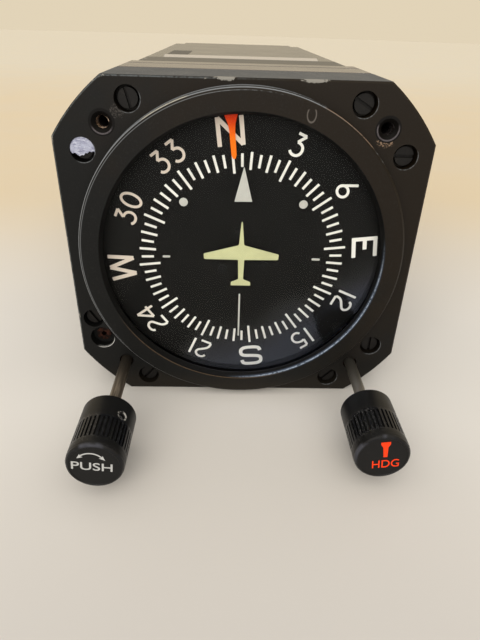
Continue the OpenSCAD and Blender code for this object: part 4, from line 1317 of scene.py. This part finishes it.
class GYRO_OT_threads(bpy.types.Operator):
    """Wind the threads in the mounting inserts and in the ports"""

    bl_idname = "gyro.threads"
    bl_label = "Threads"

    def execute(self, context):
        inserts = [
            wound("thread", INSERT_THREAD, INSERT_DEPTHS, x, SHAFT_OUT)
            for x in (-SHAFT_OUT, SHAFT_OUT)
        ]
        settled(joined("insert_threads", *inserts), thread_brass(), "housing")
        ports = [wound("thread", PORT_THREAD, PORT_DEPTHS, 0, z) for z in PORT_HEIGHTS]
        paint = case_paint(context.scene.gyro_case, "port_paint")
        settled(joined("port_threads", *ports), paint, "housing")
        return {"FINISHED"}


class GYRO_OT_return_spring(bpy.types.Operator):
    """Wind the push shaft's return spring"""

    bl_idname = "gyro.return_spring"
    bl_label = "Return spring"

    def execute(self, context):
        low, high = (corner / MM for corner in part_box("set_spring"))
        length = high.y - low.y
        wire = SPRING_WIRE
        helix = ((high.x - low.x) / 2 - wire, wire, (length - 2 * wire) / SPRING_TURNS)
        ends = (low.y + wire, high.y - wire)
        coil = wound("return_spring", helix, ends, -SHAFT_OUT, -SHAFT_OUT)
        settled(coil, NODES["set_spring"].data.materials[0], "housing")
        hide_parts("set_spring")
        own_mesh(coil)
        return {"FINISHED"}


class GYRO_OT_lacquer(bpy.types.Operator):
    """Dab pale lacquer over the screw at the upper left"""

    bl_idname = "gyro.lacquer"
    bl_label = "Sealing lacquer"

    def execute(self, context):
        sizes = context.scene.gyro_case
        outline = arc((0, 0), (2.72, 2.72), -12, 188, 26) + [
            (-2.35, -0.9), (-1.7, -0.75), (-1.25, -1.15), (-0.75, -1.5), (-0.3, -1.2), (0.2, -1.25),
            (0.55, -0.75), (1.1, -0.8), (1.5, -0.35), (1.95, -0.55), (2.35, -0.35),
        ]
        thick, sunk = 0.95, 1.2
        dab = joined("screw_lacquer", flat_shape([outline], thick))
        bevel = dab.modifiers.new("edge", "BEVEL")
        bevel.width = 0.00022
        bevel.segments = 3
        bevel.limit_method = "ANGLE"
        bpy.ops.object.modifier_apply(modifier=bevel.name)
        bpy.ops.object.shade_smooth_by_angle(angle=math.radians(40))
        x, z = screw_place(135 + SCREW_TURN)
        dab.matrix_world = front_place(x=x, y=sunk, z=z)
        finish = Finish("screw_lacquer")
        cloud = finish.noise(1.1, 4, 0.65)
        streak = finish.noise(0.5, 3, 0.6, finish.at(stretch=(0.5, 1, 1.6)))
        lacquer = finish.surface(
            base_color=finish.coats(
                sizes.touch_up,
                (cloud.rises(0.35, 0.7), (0.2, 0.2, 0.29)),
                (streak.rises(0.52, 0.7), (0.55, 0.56, 0.62)),
            ),
            roughness=0.3 + streak * 0.2,
            normal=finish.bump(cloud * 0.6 + streak * 0.4, 0.25),
        )
        settled(dab, lacquer, "housing")
        return {"FINISHED"}


class GYRO_OT_stage(bpy.types.Operator):
    """Set the floor, the soft lights and the camera"""

    bl_idname = "gyro.stage"
    bl_label = "Stage"

    def execute(self, context):
        sizes = context.scene.gyro_stage
        bpy.ops.object.select_all(action="DESELECT")
        bpy.ops.mesh.primitive_circle_add(
            vertices=96,
            radius=FLOOR_RADIUS,
            fill_type="NGON",
            location=(0, 0, CASE_LOW.z * MM - FLOOR_GAP),
        )
        floor = context.view_layer.objects.active
        floor.name = "floor"
        bpy.ops.object.mode_set(mode="EDIT")
        bpy.ops.mesh.inset(thickness=FLOOR_RADIUS * 0.8)
        bpy.ops.object.mode_set(mode="OBJECT")
        floor.data.materials.append(self.floor_finish(sizes))
        self.light_room(context.scene, sizes)
        for name, strength, width, toward in (
            ("key_light", sizes.key_strength, 70, (0.15, 0.92, -0.36)),
            ("top_light", sizes.key_strength * 0.4, 100, (0.12, 0.2, -0.97)),
        ):
            bpy.ops.object.light_add(type="SUN", location=(0, 0, 1))
            lamp = context.view_layer.objects.active
            lamp.name = name
            lamp.data.energy = strength
            lamp.data.angle = math.radians(width)
            lamp.data.color = (1, 0.985, 0.965)
            lamp.rotation_euler = Vector(toward).to_track_quat("-Z", "Y").to_euler()
        self.place_camera(context)
        context.scene.view_settings.view_transform = "Standard"
        return {"FINISHED"}

    def floor_finish(self, sizes):
        """Matt floor, greyer in front, with a painted shadow in front of the object, and the
        background's colour behind it.
        """
        finish = Finish("floor_cloth")
        x, y = finish.x, finish.y
        grain = finish.noise(0.5, 2)
        cloud = finish.noise(60, 2)
        # A soft painted shadow of the object, on the floor in front of it
        dx, dy = x / 0.1, (y + 0.075) / 0.085
        colour = finish.coats(
            sizes.floor_colour,
            (y.rises(-0.04, -0.15), (0.59, 0.575, 0.56)),
            (y.rises(0.02, 0.2), (0.76, 0.61, 0.4)),
            (y.rises(0.4, 1.2), sizes.sky_colour),
            ((1 - dx * dx - dy * dy).rises(0.0, 1.0) * 0.5, (0.56, 0.5, 0.43)),
            (cloud.rises(0.3, 0.7) * 0.12 + grain * 0.05, fade(sizes.floor_colour, 0.85)),
        )
        return finish.surface(
            base_color=colour,
            roughness=0.9,
            specular_ior_level=0.0,
            normal=finish.bump(grain, 0.01),
        )

    def light_room(self, scene, sizes):
        """Even light from all round, behind which the camera and mirrors see the background."""
        scene.world = bpy.data.worlds.new("room")
        scene.world.use_nodes = True
        nodes = Nodes(scene.world.node_tree)
        seen = nodes.add("ShaderNodeLightPath").outputs
        kinds = ("Is Camera Ray", "Is Glossy Ray", "Is Transmission Ray")
        shown = reduce(Signal.most, [Signal(nodes, seen[kind]) for kind in kinds])
        even, pale = (
            nodes.add("ShaderNodeBackground", None, {"Color": colour, "Strength": strength})
            for colour, strength in (
                ((0.95, 0.97, 1, 1), sizes.world_strength),
                ((*sizes.sky_colour, 1), 1.0),
            )
        )
        sockets = {0: shown, 1: even.outputs[0], 2: pale.outputs[0]}
        blend = nodes.add("ShaderNodeMixShader", None, sockets)
        nodes.add("ShaderNodeOutputWorld", None, {"Surface": blend.outputs[0]})

    def place_camera(self, context):
        """Sets the camera to the photograph's angle and lens."""
        roll, pitch, yaw = (
            Matrix.Rotation(math.radians(angle), 3, axis)
            for angle, axis in zip(CAMERA_TURNS, "ZXY")
        )
        view = roll @ pitch @ yaw @ Matrix(((1, 0, 0), (0, 0, -1), (0, 1, 0)))
        centre = -(view.transposed() @ Vector(CAMERA_MOVE)) * MM
        bpy.ops.object.camera_add(location=centre)
        camera = context.view_layer.objects.active
        camera.name = "camera"
        turn = Matrix((view[0], -view[1], -view[2])).transposed().to_4x4()
        camera.matrix_world = Matrix.Translation(centre) @ turn
        camera.data.sensor_fit = "VERTICAL"
        camera.data.sensor_height = SENSOR_HEIGHT
        camera.data.lens = FOCAL_PIXELS / PICTURE_HEIGHT * SENSOR_HEIGHT
        camera.data.clip_start = 0.005
        camera.data.clip_end = 50
        context.scene.camera = camera


class GYRO_PT_panel(bpy.types.Panel):
    """The sizes, the colours and the steps of the indicator"""

    bl_label = "Gyro Indicator"
    bl_idname = "GYRO_PT_panel"
    bl_space_type = "VIEW_3D"
    bl_region_type = "UI"
    bl_category = "Gyro Indicator"

    def draw(self, context):
        for group in GROUPS:
            box = self.layout.box()
            owner = getattr(context.scene, group)
            for key in owner.bl_rna.properties.keys():
                if key not in ("rna_type", "name"):
                    box.prop(owner, key)
        for step in STEPS:
            self.layout.operator(step.bl_idname)


GROUPS = {
    "gyro_case": CaseSizes,
    "gyro_dial": DialSizes,
    "gyro_knobs": KnobSizes,
    "gyro_stage": StageSizes,
}
STEPS = (
    GYRO_OT_case_finishes,
    GYRO_OT_mechanism_finishes,
    GYRO_OT_dial_finishes,
    GYRO_OT_knob_finishes,
    GYRO_OT_card_ticks,
    GYRO_OT_card_characters,
    GYRO_OT_glass_marks,
    GYRO_OT_aeroplane_sign,
    GYRO_OT_push_lettering,
    GYRO_OT_hdg_lettering,
    GYRO_OT_threads,
    GYRO_OT_return_spring,
    GYRO_OT_lacquer,
    GYRO_OT_stage,
)


def register():
    for group in GROUPS.values():
        bpy.utils.register_class(group)
    for name, group in GROUPS.items():
        setattr(bpy.types.Scene, name, bpy.props.PointerProperty(type=group))
    for step in STEPS:
        bpy.utils.register_class(step)
    bpy.utils.register_class(GYRO_PT_panel)


def unregister():
    bpy.utils.unregister_class(GYRO_PT_panel)
    for step in reversed(STEPS):
        bpy.utils.unregister_class(step)
    for name, group in GROUPS.items():
        delattr(bpy.types.Scene, name)
        bpy.utils.unregister_class(group)


def main():
    register()
    for step in STEPS:
        family, name = step.bl_idname.split(".")
        getattr(getattr(bpy.ops, family), name)()


if __name__ == "__main__":
    main()
